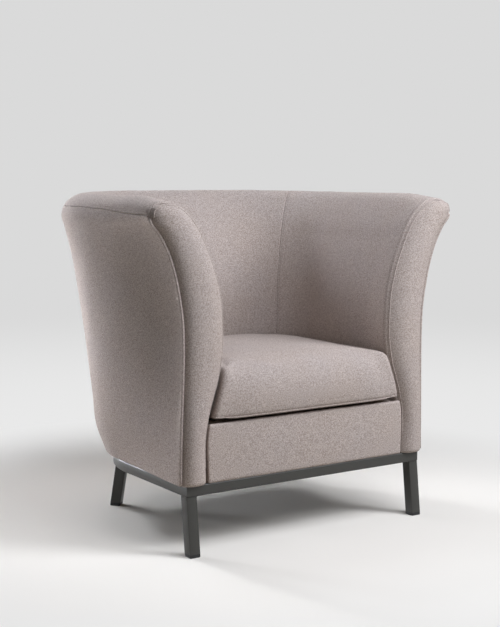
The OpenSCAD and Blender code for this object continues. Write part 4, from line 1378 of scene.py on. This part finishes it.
    def half_cover(self, whole: Piece, name: str, below: int) -> Piece:
        """The part of the cover above or below the seam, as a closed layer of cloth.

        Args:
            whole: The whole cover.
            name: The new object's name.
            below: 1 for the part below the seam, 0 for the part above.

        Returns:
            The part of the cover, with its thickness inside.
        """
        bm = bmesh.new()
        bm.from_mesh(whole.data)
        side = bm.faces.layers.int["below"]
        bmesh.ops.delete(bm, geom=[f for f in bm.faces if f[side] != below], context="FACES")
        bmesh.ops.recalc_face_normals(bm, faces=bm.faces)
        centre = Vector((0, 0, (self.shape.bottom_z + self.shape.seam_h) * MM))
        if sum(f.normal.dot(f.calc_center_median() - centre) * f.calc_area() for f in bm.faces) < 0:
            bmesh.ops.reverse_faces(bm, faces=bm.faces)
        layer = bm.loops.layers.uv.new("cloth")
        for face in bm.faces:
            flat = abs(face.normal.z) > 0.7
            for loop in face.loops:
                co = loop.vert.co
                loop[layer].uv = (co.x, co.y) if flat else (co.x + co.y, co.z)
        fresh = new_verts(bmesh.ops.extrude_face_region(bm, geom=bm.faces[:]))
        bm.normal_update()
        for vert in fresh:
            vert.co -= vert.normal * self.cloth_t * MM
        bmesh.ops.recalc_face_normals(bm, faces=bm.faces)
        return object_from(bm, name)

    def fibre_layer(self, fibre: Material) -> None:
        """Builds the soft fibre layer between the core and the top cover."""
        s = self.shape
        top = s.bottom_z + s.thickness
        share = np.linspace(-1, 1, 33)
        lines = s.measured(top - 2, self.fibre_inset)
        outer = np.zeros((len(share), len(share), 3))
        for j, y in enumerate(share):
            for i, x in enumerate(share):
                plan, rise = s.within(x, y, lines)
                outer[j, i] = (plan[0], plan[1] + s.form.front_y, top - self.fibre_drop + s.crown * rise)
        piece = slab("cushion_fibre", outer * MM, (outer - (0, 0, self.fibre_t)) * MM)
        finish_piece(piece, Body.CUSHION, fibre, ("cushion_wrap",))

    def stitch(self, thread: Material, z: float) -> None:
        """Topstitching above the seam, along the front and sides."""
        lines = self.shape.outline(z, 0.2)
        right = np.concatenate([lines[0], lines[1][1:], lines[2][1:]])
        loop = np.concatenate([right[::-1] * (-1, 1), right[1:]])
        loop = np.concatenate([loop, np.full((len(loop), 1), z)], axis=1)
        loop[:, 1] += self.shape.form.front_y
        step = np.gradient(loop, axis=0)
        out = unit(np.stack([step[:, 1], -step[:, 0], 0 * step[:, 0]], axis=1))
        piece = Stitches("cushion_seam_stitches").build(loop * MM, out)
        finish_piece(piece, Body.CUSHION, thread)


# Steel base


@dataclass
class SteelBase:
    """Welded base of square tube: a ring with mitred front and round back corners, on four legs."""

    width: float = 700.0
    bend_x: float = 50.0
    bend_y: float = 296.0
    corner_r: float = 300.0
    rail_h: float = 26.0
    rail_w: float = 28.0
    leg_h: float = 141.0
    front_rake: float = 16.0
    back_splay: float = 22.0
    glide_h: float = 8.0
    glide_step: float = 2.0
    corner: float = 2.4
    weld: float = 4.5
    weld_steps: int = 9
    weld_inset: float = 2.2
    weld_sunk: float = 0.4
    crisp_deg: float = 32.0
    front_y: float = -344.624

    def section(self, bm: Mesh, width: float, depth: float) -> list[bmesh.types.BMFace]:
        """Face of a tube's outline with rounded corners, in the XY plane about the origin.

        Args:
            bm: The mesh it is added to.
            width: Size along X.
            depth: Size along Y.

        Returns:
            The face, in a list.
        """
        made = bmesh.ops.create_grid(bm, x_segments=1, y_segments=1, size=0.5)
        bmesh.ops.scale(bm, vec=(width, depth, 1), verts=made["verts"])
        edges = list({e for v in made["verts"] for e in v.link_edges})
        bmesh.ops.bevel(
            bm, geom=made["verts"] + edges, offset=self.corner, segments=3, profile=0.5, material=-1,
            affect="VERTICES",
        )
        return bm.faces[:]

    def upright_section(self, bm: Mesh) -> list[bmesh.types.BMFace]:
        """Face of the rail's outline, upright in the XZ plane about the origin."""
        faces = self.section(bm, self.rail_w, self.rail_h)
        self.turned(bm, math.pi / 2, "X")
        return faces

    @staticmethod
    def turned(bm: Mesh, angle: float, axis: str) -> None:
        """Turns a whole mesh about the origin."""
        bmesh.ops.rotate(bm, verts=bm.verts, cent=(0, 0, 0), matrix=Matrix.Rotation(angle, 3, axis))

    @staticmethod
    def drawn(bm: Mesh, faces: list[bmesh.types.BMFace], step: tuple[float, float, float]) -> list:
        """Extrudes faces by a step and returns the faces at the new end."""
        made = bmesh.ops.extrude_face_region(bm, geom=faces)
        bmesh.ops.translate(bm, verts=new_verts(made), vec=step)
        return [g for g in made["geom"] if isinstance(g, bmesh.types.BMFace)]

    def done(self, bm: Mesh, name: str) -> Piece:
        """Puts a part in its place and turns it into a piece with crisp edges."""
        bmesh.ops.remove_doubles(bm, verts=bm.verts, dist=0.001)
        bmesh.ops.recalc_face_normals(bm, faces=bm.faces)
        bmesh.ops.translate(bm, verts=bm.verts, vec=(0, self.front_y, 0))
        bmesh.ops.scale(bm, vec=(MM, MM, MM), verts=bm.verts)
        piece = object_from(bm, name)
        piece.data.set_sharp_from_angle(angle=math.radians(self.crisp_deg))
        return piece

    def straight(
        self, name: str, start: tuple[float, float], heading: float, length: float, mitres: tuple[bool, bool],
    ) -> Piece:
        """Straight tube of the ring.

        Args:
            name: The object's name.
            start: Plan point of its outer edge's start.
            heading: Direction in degrees, with the ring's inside on its left.
            length: Length of its outer edge.
            mitres: Whether its start and its end are mitred.

        Returns:
            The tube.
        """
        bm = bmesh.new()
        faces = self.upright_section(bm)
        first = set(bm.verts)
        self.drawn(bm, faces, (0, length, 0))
        for vert in bm.verts:
            mitred, way = (mitres[0], 1) if vert in first else (mitres[1], -1)
            if mitred:
                vert.co.y += way * (self.rail_w / 2 - vert.co.x)
        bmesh.ops.translate(bm, verts=bm.verts, vec=(-self.rail_w / 2, 0, self.leg_h + self.rail_h / 2))
        self.turned(bm, math.radians(heading - 90), "Z")
        bmesh.ops.translate(bm, verts=bm.verts, vec=(*start, 0))
        return self.done(bm, name)

    def bend(self, name: str) -> Piece:
        """Quarter circle of tube at the left back corner."""
        bm = bmesh.new()
        faces = self.upright_section(bm)
        middle = self.corner_r - self.rail_w / 2
        bmesh.ops.translate(
            bm, verts=bm.verts, vec=(-self.bend_x - middle, self.bend_y, self.leg_h + self.rail_h / 2)
        )
        bmesh.ops.spin(
            bm, geom=bm.verts[:] + bm.edges[:] + faces, cent=(-self.bend_x, self.bend_y, 0), axis=(0, 0, 1),
            angle=-math.pi / 2, steps=36, use_merge=False, use_duplicate=False,
        )
        return self.done(bm, name)

    def placed(self, bm: Mesh, back: bool) -> None:
        """Moves a left leg's part from the origin to its corner."""
        if back:
            reach = (self.corner_r - self.rail_w / 2) * math.cos(math.pi / 4)
            spot, angle = (-self.bend_x - reach, self.bend_y + reach), math.pi / 4
        else:
            spot, angle = (-self.width / 2 + self.rail_w / 2, self.rail_w / 2), math.pi
        self.turned(bm, angle, "Z")
        bmesh.ops.translate(bm, verts=bm.verts, vec=(*spot, 0))

    def splay(self, back: bool) -> float:
        """How far a leg stands out at its foot."""
        return self.back_splay if back else self.front_rake

    def leg(self, name: str, back: bool) -> Piece:
        """Left leg of square tube, which leans out towards its foot."""
        bm = bmesh.new()
        splay = self.splay(back)
        faces = self.section(bm, self.rail_w, self.rail_w * math.hypot(1, splay / self.leg_h))
        self.drawn(bm, faces, (0, 0, 1))
        for vert in bm.verts:
            z = self.leg_h if vert.co.z > 0.5 else self.glide_h
            vert.co.y += splay * (self.leg_h - z) / self.leg_h
            vert.co.z = z
        self.placed(bm, back)
        return self.done(bm, name)

    def glide(self, name: str, back: bool) -> Piece:
        """Left glide: a plastic foot with a narrower sole."""
        bm = bmesh.new()
        sole = self.rail_w - self.glide_step
        faces = self.section(bm, sole, sole)
        width = sole
        for height in (self.glide_step, self.glide_h):
            faces = self.drawn(bm, faces, (0, 0, 0))
            for vert in {v for f in faces for v in f.verts}:
                vert.co.x *= self.rail_w / width
                vert.co.y *= self.rail_w / width
                vert.co.z = height
            width = self.rail_w
        for vert in bm.verts:
            vert.co.y += self.splay(back) * (self.leg_h - vert.co.z) / self.leg_h
        self.placed(bm, back)
        return self.done(bm, name)

    def welds(self, name: str, back: bool) -> Piece:
        """Weld beads in the corners between the left leg and the rail's underside."""
        bm = bmesh.new()
        size, edge = self.weld, self.rail_w / 2 - self.weld_sunk
        bead = [(0, 0), (size, 0), (size * 0.45, -size * 0.2), (size * 0.2, -size * 0.45), (0, -size)]
        start = self.weld_inset - self.rail_w / 2
        step = (self.rail_w - 2 * self.weld_inset) / self.weld_steps
        for turn in (0.0, math.pi) if back else (math.pi, -math.pi / 2):
            part = bmesh.new()
            outline = [part.verts.new((edge + x, start, self.leg_h + 0.3 + z)) for x, z in bead]
            faces = [part.faces.new(outline)]
            for _ in range(self.weld_steps):
                faces = self.drawn(part, faces, (0, step, 0))
            for vert in part.verts:
                vert.co.x = edge + (vert.co.x - edge) * (1 + 0.07 * math.sin(vert.co.y * 2.4))
            self.turned(part, turn, "Z")
            bmesh.ops.recalc_face_normals(part, faces=part.faces)
            join(bm, part)
        self.placed(bm, back)
        return self.done(bm, name)

    def build(self, paint: Material, plastic: Material) -> None:
        """Builds the ring, the legs, the glides and the weld beads."""
        half = self.width / 2
        front = self.straight("front_tube", (-half, 0.0), 0.0, self.width, (True, True))
        finish_piece(front, Body.FRAME, paint, ("front_rail",))
        back = self.straight(
            "back_tube", (self.bend_x, self.bend_y + self.corner_r), 180.0, 2 * self.bend_x, (False, False)
        )
        finish_piece(back, Body.FRAME, paint, ("back_rail",))
        side_tube = self.straight("left_tube", (-half, self.bend_y), -90.0, self.bend_y, (False, True))
        for left, node, slot, material in (
            (side_tube, "{}_rail", "steel_base", paint),
            (self.bend("left_bent_tube"), "{}_back_bend", "steel_base", paint),
            (self.leg("front_left_tube_leg", False), "front_{}_leg", "steel_base", paint),
            (self.leg("back_left_tube_leg", True), "back_{}_leg", "steel_base", paint),
            (self.glide("front_left_foot", False), "front_{}_glide", "glide_plastic", plastic),
            (self.glide("back_left_foot", True), "back_{}_glide", "glide_plastic", plastic),
            (self.welds("front_left_weld_beads", False), "", "steel_base", paint),
            (self.welds("back_left_weld_beads", True), "", "steel_base", paint),
        ):
            right = mirrored_copy(left, left.name.replace("left", "right"))
            right.data.set_sharp_from_angle(angle=math.radians(self.crisp_deg))
            for side, piece in (("left", left), ("right", right)):
                finish_piece(piece, Body.FRAME, material, (node.format(side),) if node else ())


# Finishes


# At a scale of 1, a band of Blender's wave texture repeats at this length
WAVE_SCALE = math.pi / 10


def linear(colour: str) -> tuple[float, float, float, float]:
    """Linear colour from an sRGB hex value."""
    parts = [int(colour[i:i + 2], 16) / 255 for i in (1, 3, 5)]
    parts = [p / 12.92 if p <= 0.04045 else ((p + 0.055) / 1.055) ** 2.4 for p in parts]
    return (*parts, 1.0)


def add(tree: Tree, kind: str, inputs: dict | None = None, **settings: object) -> bpy.types.Node:
    """Adds a node with its settings, values and links.

    Args:
        tree: The material's node tree.
        kind: The node's type name.
        inputs: Values, or sockets to link, by input name or number.
        settings: Properties of the node.

    Returns:
        The node.
    """
    node = tree.nodes.new(kind)
    for name, value in settings.items():
        setattr(node, name, value)
    for key, value in (inputs or {}).items():
        if isinstance(value, Socket):
            tree.links.new(value, node.inputs[key])
        else:
            node.inputs[key].default_value = value
    return node


def calc(tree: Tree, operation: str, *values: Socket | float) -> Socket:
    """Result of a maths node on sockets or numbers."""
    return add(tree, "ShaderNodeMath", dict(enumerate(values)), operation=operation).outputs[0]


@dataclass(frozen=True)
class Finish:
    """A surface's name and its shader's plain values."""

    name: str
    roughness: float = 0.5
    ior: float = 1.5

    def start(self) -> tuple[Material, Tree, bpy.types.Node]:
        """New material with its shader."""
        material = bpy.data.materials.new(self.name)
        material.use_nodes = True
        tree = material.node_tree
        shader = tree.nodes["Principled BSDF"]
        shader.inputs["Roughness"].default_value = self.roughness
        shader.inputs["IOR"].default_value = self.ior
        return material, tree, shader

    @staticmethod
    def ramp(tree: Tree, amount: Socket, stops: tuple) -> Socket:
        """Colours between stops of place and sRGB hex."""
        node = add(tree, "ShaderNodeValToRGB", {"Fac": amount})
        ends = node.color_ramp.elements
        while len(ends) < len(stops):
            ends.new(0.5)
        for end, (place, colour) in zip(ends, stops):
            end.position = place
            end.color = linear(colour)
        return node.outputs["Color"]

    @staticmethod
    def dress(
        tree: Tree, shader: bpy.types.Node, colour: Socket, height: Socket, strength: float, depth_mm: float,
    ) -> None:
        """Links a colour and a bump to the shader.

        Args:
            tree: The material's node tree.
            shader: Its shader.
            colour: The colour.
            height: The bump's height.
            strength: The bump's strength, from 0 to 1.
            depth_mm: How far apart its highest and lowest points are.
        """
        bump = add(tree, "ShaderNodeBump", {
            "Height": height, "Strength": strength, "Distance": depth_mm * MM})
        tree.links.new(colour, shader.inputs["Base Color"])
        tree.links.new(bump.outputs[0], shader.inputs["Normal"])


@dataclass(frozen=True)
class WoolFelt(Finish):
    """Milled wool cloth: woven, then felted, so the weave is blurred under short matted fibres.

    The eye sees a fine salt and pepper melange, with soft larger patches.
    """

    name: str = "milled_wool_cloth"
    roughness: float = 0.93
    light: str = "#d5cac3"
    middle: str = "#b2a69f"
    dark: str = "#897c74"
    fleck_mm: float = 2.6
    fibre_mm: float = 1.3
    patch_mm: float = 110.0
    fibre_share: float = 0.28
    nap_mm: float = 0.7
    cool: str = "#fefeff"
    warm: str = "#fffdfb"
    # The real thread is about 1 mm apart; at 2.4 mm it still shows
    thread_mm: float = 2.4

    def material(self) -> Material:
        """The cloth's node material."""
        material, tree, shader = self.start()
        place = add(tree, "ShaderNodeTexCoord").outputs
        flecks, fibres, patches = (
            add(tree, "ShaderNodeTexNoise", {
                "Vector": place["Object"], "Scale": 1 / (size * MM), "Detail": detail, "Roughness": roughness,
            }).outputs["Fac"]
            for size, detail, roughness in (
                (self.fleck_mm, 3.0, 0.68), (self.fibre_mm, 2.0, 0.6), (self.patch_mm, 2.0, 0.5),
            )
        )
        melange = calc(tree, "MULTIPLY", flecks, 1 - self.fibre_share)
        melange = calc(tree, "MULTIPLY_ADD", fibres, self.fibre_share, melange)
        colour = self.ramp(tree, melange, ((0.33, self.dark), (0.5, self.middle), (0.67, self.light)))
        shift = self.ramp(tree, patches, ((0.3, self.cool), (0.7, self.warm)))
        tinted = add(
            tree, "ShaderNodeMix", {0: 1.0, 6: colour, 7: shift}, data_type="RGBA", blend_type="MULTIPLY"
        )
        weave = [
            add(tree, "ShaderNodeTexWave", {
                "Vector": place["UV"], "Scale": WAVE_SCALE / (self.thread_mm * MM), "Distortion": 1.2,
                "Detail": 1.0, "Detail Scale": 2.0,
            }, wave_type="BANDS", bands_direction=direction).outputs["Fac"]
            for direction in ("X", "Y")
        ]
        nap = calc(tree, "MULTIPLY_ADD", calc(tree, "MULTIPLY", *weave), 0.35, fibres)
        nap = calc(tree, "MULTIPLY_ADD", flecks, 0.6, nap)
        self.dress(tree, shader, tinted.outputs[2], nap, 0.5, self.nap_mm)
        shader.inputs["Sheen Weight"].default_value = 0.05
        shader.inputs["Sheen Roughness"].default_value = 0.5
        shader.inputs["Sheen Tint"].default_value = linear("#d8cfc9")
        shader.inputs["Specular IOR Level"].default_value = 0.06
        return material


@dataclass(frozen=True)
class Thread(Finish):
    """Matched polyester thread, twisted, a little darker than the cloth."""

    name: str = "sewing_thread"
    roughness: float = 0.6
    colour: str = "#8d827b"
    shade: str = "#7d726c"
    twist_mm: float = 0.6

    def material(self) -> Material:
        """The thread's node material."""
        material, tree, shader = self.start()
        place = add(tree, "ShaderNodeTexCoord").outputs["Object"]
        twist = add(tree, "ShaderNodeTexNoise", {
            "Vector": place, "Scale": 1 / (self.twist_mm * MM), "Detail": 1.0})
        colour = self.ramp(tree, twist.outputs["Fac"], ((0.35, self.shade), (0.65, self.colour)))
        tree.links.new(colour, shader.inputs["Base Color"])
        return material


@dataclass(frozen=True)
class Grained(Finish):
    """Surface with a two colour grain and a bump of one size, stretched along an axis.

    It serves for powder coat, moulded plastic, foam, fibre, plywood, timber and cloths, each with
    its real grain in millimetres.
    """

    dark: str = "#303030"
    light: str = "#404040"
    grain_mm: float = 1.0
    stretch: tuple[float, float, float] = (1.0, 1.0, 1.0)
    bump_mm: float = 0.1
    bump: float = 0.3
    detail: float = 3.0
    metallic: float = 0.0

    def material(self) -> Material:
        """The grained surface's node material."""
        material, tree, shader = self.start()
        shader.inputs["Metallic"].default_value = self.metallic
        place = add(tree, "ShaderNodeTexCoord").outputs["Object"]
        turned = add(tree, "ShaderNodeMapping", {"Vector": place, "Scale": self.stretch})
        grain = add(tree, "ShaderNodeTexNoise", {
            "Vector": turned.outputs[0], "Scale": 1 / (self.grain_mm * MM), "Detail": self.detail})
        colour = self.ramp(tree, grain.outputs["Fac"], ((0.3, self.dark), (0.7, self.light)))
        self.dress(tree, shader, colour, grain.outputs["Fac"], self.bump, self.bump_mm)
        return material


@dataclass(frozen=True)
class Webbing(Finish):
    """Elastic upholstery webbing: polypropylene and rubber threads woven in ribs along the strap."""

    name: str = "elastic_webbing"
    roughness: float = 0.75
    dark: str = "#2c2622"
    light: str = "#5a4d42"
    rib_mm: float = 3.0
    rib_depth_mm: float = 0.6

    def material(self) -> Material:
        """The webbing's node material."""
        material, tree, shader = self.start()
        place = add(tree, "ShaderNodeTexCoord").outputs["Object"]
        bands = [
            add(tree, "ShaderNodeTexWave", {"Vector": place, "Scale": WAVE_SCALE / (self.rib_mm * MM)},
                wave_type="BANDS", bands_direction=direction).outputs["Fac"]
            for direction in ("X", "Y")
        ]
        woven = calc(tree, "MULTIPLY", *bands)
        colour = self.ramp(tree, woven, ((0.1, self.dark), (0.8, self.light)))
        self.dress(tree, shader, colour, woven, 0.6, self.rib_depth_mm)
        return material


POWDER_COAT = Grained(
    "powder_coated_steel", roughness=0.34, dark="#34332f", light="#3b3a36", grain_mm=1.4, bump_mm=0.08,
    bump=0.35, detail=2.0,
)
GLIDE_PLASTIC = Grained(
    "moulded_polypropylene", roughness=0.5, ior=1.49, dark="#141414", light="#1c1c1c", grain_mm=0.8,
    bump_mm=0.05,
)
ZINC = Grained(
    "zinc_plated_screw", roughness=0.35, dark="#a9aaa6", light="#c4c5c0", grain_mm=2.0, metallic=1.0,
)
PLYWOOD = Grained(
    "birch_plywood", roughness=0.6, dark="#b78f5e", light="#d9bc8e", grain_mm=9.0, stretch=(0.15, 1.0, 4.0),
    bump_mm=0.2,
)
BEECH = Grained(
    "sawn_beech", roughness=0.6, dark="#a9774b", light="#cfa475", grain_mm=5.0, stretch=(1.0, 0.08, 1.0),
    bump_mm=0.2,
)
FOAM = Grained(
    "cut_polyurethane_foam", roughness=0.95, dark="#d8c78c", light="#efe3b4", grain_mm=1.2, bump_mm=0.6,
    bump=0.8,
)
FIBRE = Grained(
    "polyester_fibre", roughness=0.95, dark="#dedede", light="#f5f5f4", grain_mm=4.0, stretch=(1, 0.4, 1),
    bump_mm=1.0, bump=0.7,
)
DECK_CLOTH = Grained(
    "woven_deck_cloth", roughness=0.85, dark="#3a3734", light="#514c47", grain_mm=1.2, bump_mm=0.2, bump=0.5,
)
DUST_CLOTH = Grained(
    "spunbond_dust_cloth", roughness=0.9, dark="#121212", light="#232323", grain_mm=2.2, bump_mm=0.2,
    bump=0.5,
)
ZIP_TAPE = Grained(
    "nylon_zip_tape", roughness=0.6, dark="#6d645e", light="#857b74", grain_mm=1.0, bump_mm=0.15, bump=0.5,
)


@dataclass
class CushionZip:
    """Zip across the back of the cushion: tape, teeth and puller."""

    shape: CushionForm = field(default_factory=CushionForm)
    tape_w: float = 22.0
    tape_d: tuple[float, float] = (1.1, 0.3)
    tooth: float = 1.6
    puller_r: float = 4.0

    def build(self, tape: Material, metal: Material) -> None:
        """Builds the zip on the seam at the cushion's back."""
        z, front_y = self.shape.bottom_z + self.shape.seam_h, self.shape.form.front_y
        lines = self.shape.outline(z, 0.0)
        half = np.concatenate([lines[1][-14:], lines[2][1:]])
        run = np.concatenate([half, half[::-1][1:] * (-1, 1)])
        step = np.gradient(run, axis=0)
        out = unit(np.stack([step[:, 1], -step[:, 0]], axis=1))
        if out[len(out) // 2, 1] < 0:
            out = -out
        faces = []
        for depth in self.tape_d:
            rows = []
            for share in np.linspace(-1, 1, 9):
                plan = run + out * (depth - 0.5 * abs(share)) + (0, front_y)
                rows.append(np.column_stack([plan, np.full(len(run), z + share * self.tape_w / 2)]))
            faces.append(np.array(rows) * MM)
        finish_piece(slab("cushion_zip_tape", *faces), Body.CUSHION, tape, ("cushion_zip",))
        length = along(run)
        size = Matrix.Diagonal((self.tooth * 0.5 * MM, self.tooth * MM, self.tooth * 1.7 * MM, 1))
        bm = bmesh.new()
        for at in (np.arange(int(length[-1] / (2 * self.tooth))) + 0.5) * 2 * self.tooth:
            x, y = at_lengths(run + out * 1.5, length, at)
            way = at_lengths(out, length, at)
            turn = Matrix.Rotation(math.atan2(way[1], way[0]), 4, "Z")
            place = Matrix.Translation(Vector((x, y + front_y, z)) * MM)
            bmesh.ops.create_cube(bm, size=1, matrix=place @ turn @ size)
        finish_piece(object_from(bm, "cushion_zip_teeth", False), Body.CUSHION, tape)
        bm = bmesh.new()
        bmesh.ops.create_cone(
            bm, cap_ends=True, segments=20, radius1=self.puller_r * MM, radius2=0.85 * self.puller_r * MM,
            depth=1.4 * MM,
        )
        back_y = self.shape.form.bend_y + self.shape.rear_r - self.shape.pull + front_y + 1.9
        bmesh.ops.rotate(bm, verts=bm.verts, cent=(0, 0, 0), matrix=Matrix.Rotation(-math.pi / 2, 3, "X"))
        bmesh.ops.translate(bm, verts=bm.verts, vec=(0, back_y * MM, z * MM))
        finish_piece(object_from(bm, "cushion_zip_puller"), Body.CUSHION, metal)


# Studio


@dataclass(frozen=True)
class Lamp:
    """Square soft light: where it stands in metres, its side, its power and its grid's angle."""

    name: str
    spot: tuple[float, float, float]
    side: float
    watts: float
    spread: float = 180.0
    aim: tuple[float, float, float] = (0.0, 0.0, 0.5)

    def hang(self, colour: str) -> None:
        """Adds the lamp, turned to its aim."""
        data = bpy.data.lights.new(self.name, "AREA")
        data.shape, data.size, data.energy = "SQUARE", self.side, self.watts
        data.color = linear(colour)[:3]
        data.spread = math.radians(self.spread)
        lamp = bpy.data.objects.new(self.name, data)
        lamp.location = self.spot
        lamp.rotation_euler = (Vector(self.aim) - Vector(self.spot)).to_track_quat("-Z", "Y").to_euler()
        bpy.context.scene.collection.objects.link(lamp)


LAMPS = (
    Lamp("overhead_front", (0.3, -1.6, 2.6), 1.4, 46),
    Lamp("key", (1.5, -2.1, 2.0), 1.0, 55),
    Lamp("top_back", (0.0, 1.5, 2.8), 1.0, 10),
    Lamp("rim", (-0.6, 2.4, 2.2), 0.8, 3.8, 40, (-0.1, 0.1, 0.84)),
    Lamp("far_left", (-1.7, 2.5, 0.55), 0.6, 52),
    Lamp("behind_left_grid", (-0.95, 2.8, 0.6), 0.6, 2.4, 40, (-0.3, 0.1, 0.6)),
    Lamp("side_left", (-2.4, 0.9, 1.0), 0.3, 0.26, 14, (-0.44, 0.26, 0.56)),
    Lamp("floor_left", (-1.4, 0.8, 2.8), 0.5, 2.6, 50, (-1.25, 0.5, 0.0)),
)


@dataclass
class Studio:
    """Camera, floor, background and soft lights."""

    eye: tuple[float, float, float] = (-1.7854577, -2.7820895, 0.8800334)
    pitch: float = 0.109200925
    yaw: float = 0.583949665
    focal_px: float = 1250.0
    image_h: float = 627.0
    ambient: float = 0.01
    sky: str = "#fbfcff"
    lamp: str = "#f2f6ff"
    ground: str = "#f4efe6"
    bounce: str = "#cac3b8"
    floor_tone: str = "#e9e9e9"
    background: str = "#dadada"
    floor_r: float = 14.0
    # Distances between which the shaded floor gives way to a plain tone, and that to the background
    pale: tuple[float, float] = (0.6, 1.3)
    toned: tuple[float, float] = (1.2, 5.0)

    def camera(self) -> None:
        """Creates the camera at the photograph's place."""
        data = bpy.data.cameras.new("camera")
        data.lens = self.focal_px * data.sensor_width / self.image_h
        camera = bpy.data.objects.new("camera", data)
        camera.location = self.eye
        camera.rotation_euler = (math.pi / 2 - self.pitch, 0, -self.yaw)
        bpy.context.scene.collection.objects.link(camera)
        bpy.context.scene.camera = camera

    def floor(self) -> None:
        """Pale floor that keeps the chair's shadow and fades into the background."""
        bm = bmesh.new()
        bmesh.ops.create_circle(bm, cap_ends=True, segments=96, radius=self.floor_r)
        plane = object_from(bm, "studio_floor")
        material = bpy.data.materials.new("pale_floor")
        material.use_nodes = True
        tree = material.node_tree
        tree.nodes.clear()
        place = add(tree, "ShaderNodeTexCoord").outputs["Object"]
        distance = add(tree, "ShaderNodeVectorMath", {0: place}, operation="LENGTH").outputs["Value"]
        far, rear = (
            add(
                tree, "ShaderNodeMapRange", {"Value": distance, 1: start, 2: end},
                interpolation_type="SMOOTHSTEP",
            ).outputs[0]
            for start, end in (self.pale, self.toned)
        )
        seen = self.seen_directly(tree)
        shade = add(
            tree, "ShaderNodeMix", {0: seen, 6: linear(self.bounce), 7: linear(self.ground)}, data_type="RGBA"
        )
        matte = add(tree, "ShaderNodeBsdfDiffuse", {"Color": shade.outputs[2]})
        tone = add(tree, "ShaderNodeMix", {
            0: rear, 6: linear(self.floor_tone), 7: linear(self.background)}, data_type="RGBA")
        glow = add(tree, "ShaderNodeEmission", {"Color": tone.outputs[2]})
        mixed = add(tree, "ShaderNodeMixShader", {
            0: calc(tree, "MULTIPLY", far, seen), 1: matte.outputs[0], 2: glow.outputs[0]})
        add(tree, "ShaderNodeOutputMaterial", {"Surface": mixed.outputs[0]})
        plane.data.materials.append(material)

    @staticmethod
    def seen_directly(tree: Tree) -> Socket:
        """1 for rays from the camera, or seen in or through a shiny surface."""
        ray = add(tree, "ShaderNodeLightPath").outputs
        seen = calc(tree, "MAXIMUM", ray["Is Camera Ray"], ray["Is Glossy Ray"])
        return calc(tree, "MAXIMUM", seen, ray["Is Transmission Ray"])

    def build(self) -> None:
        """Builds the whole studio."""
        scene = bpy.context.scene
        scene.view_settings.view_transform = "Standard"
        self.camera()
        self.floor()
        world = bpy.data.worlds.new("studio")
        world.use_nodes = True
        tree = world.node_tree
        tree.nodes.clear()
        seen = self.seen_directly(tree)
        shown = add(tree, "ShaderNodeBackground", {"Color": linear(self.background), "Strength": 1.0})
        fill = add(tree, "ShaderNodeBackground", {"Color": linear(self.sky), "Strength": self.ambient})
        mixed = add(tree, "ShaderNodeMixShader", {0: seen, 1: fill.outputs[0], 2: shown.outputs[0]})
        add(tree, "ShaderNodeOutputWorld", {"Surface": mixed.outputs[0]})
        scene.world = world
        for lamp in LAMPS:
            lamp.hang(self.lamp)


@dataclass
class TimberFrame:
    """The hidden frame, which keeps its solids and gets its materials."""

    plywood: tuple[str, ...] = (
        "front_board", "left_board", "right_board", "back_board", "left_front_post", "right_front_post",
        "arm_ribs", "corner_ribs", "back_ribs", "left_top_rail", "right_top_rail", "back_top_rail",
    )
    timber: tuple[str, ...] = ("front_seat_rail", "left_seat_rail", "right_seat_rail", "back_seat_rail")

    def dress(self, materials: dict[str, Material]) -> None:
        """Gives each solid that stays its material."""
        for nodes, finish in (
            (self.plywood, "plywood"), (self.timber, "beech"), (("fixing_tabs",), "paint"),
            (("frame_screws",), "zinc"),
        ):
            for node in nodes:
                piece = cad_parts[node]
                piece.data.materials.clear()
                piece.data.materials.append(materials[finish])
                LOG.info("%s: %s", node, finish)


def main() -> None:
    """Builds the chair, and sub-assembly by sub-assembly."""
    logging.basicConfig(level=logging.INFO, format="%(message)s")
    finishes = {
        "cloth": WoolFelt(), "thread": Thread(), "paint": POWDER_COAT, "plastic": GLIDE_PLASTIC,
        "zinc": ZINC, "plywood": PLYWOOD, "beech": BEECH, "foam": FOAM, "fibre": FIBRE, "deck": DECK_CLOTH,
        "dust": DUST_CLOTH, "zip": ZIP_TAPE, "webbing": Webbing(),
    }
    made = {name: finish.material() for name, finish in finishes.items()}
    Studio().build()
    SteelBase().build(made["paint"], made["plastic"])
    TimberFrame().dress(made)
    shell = Shell()
    shell.pad(made["foam"], made["fibre"])
    shell.build(made["cloth"], made["thread"])
    ArmFronts().build(made["cloth"], made["foam"])
    SeatFront().build(made["cloth"], made["foam"])
    SeatDeck().build(made["webbing"], made["foam"], made["deck"], made["dust"])
    SeatCushion().build(made["cloth"], made["thread"], made["foam"], made["fibre"])
    CushionZip().build(made["zip"], made["zinc"])


if __name__ == "__main__":
    main()
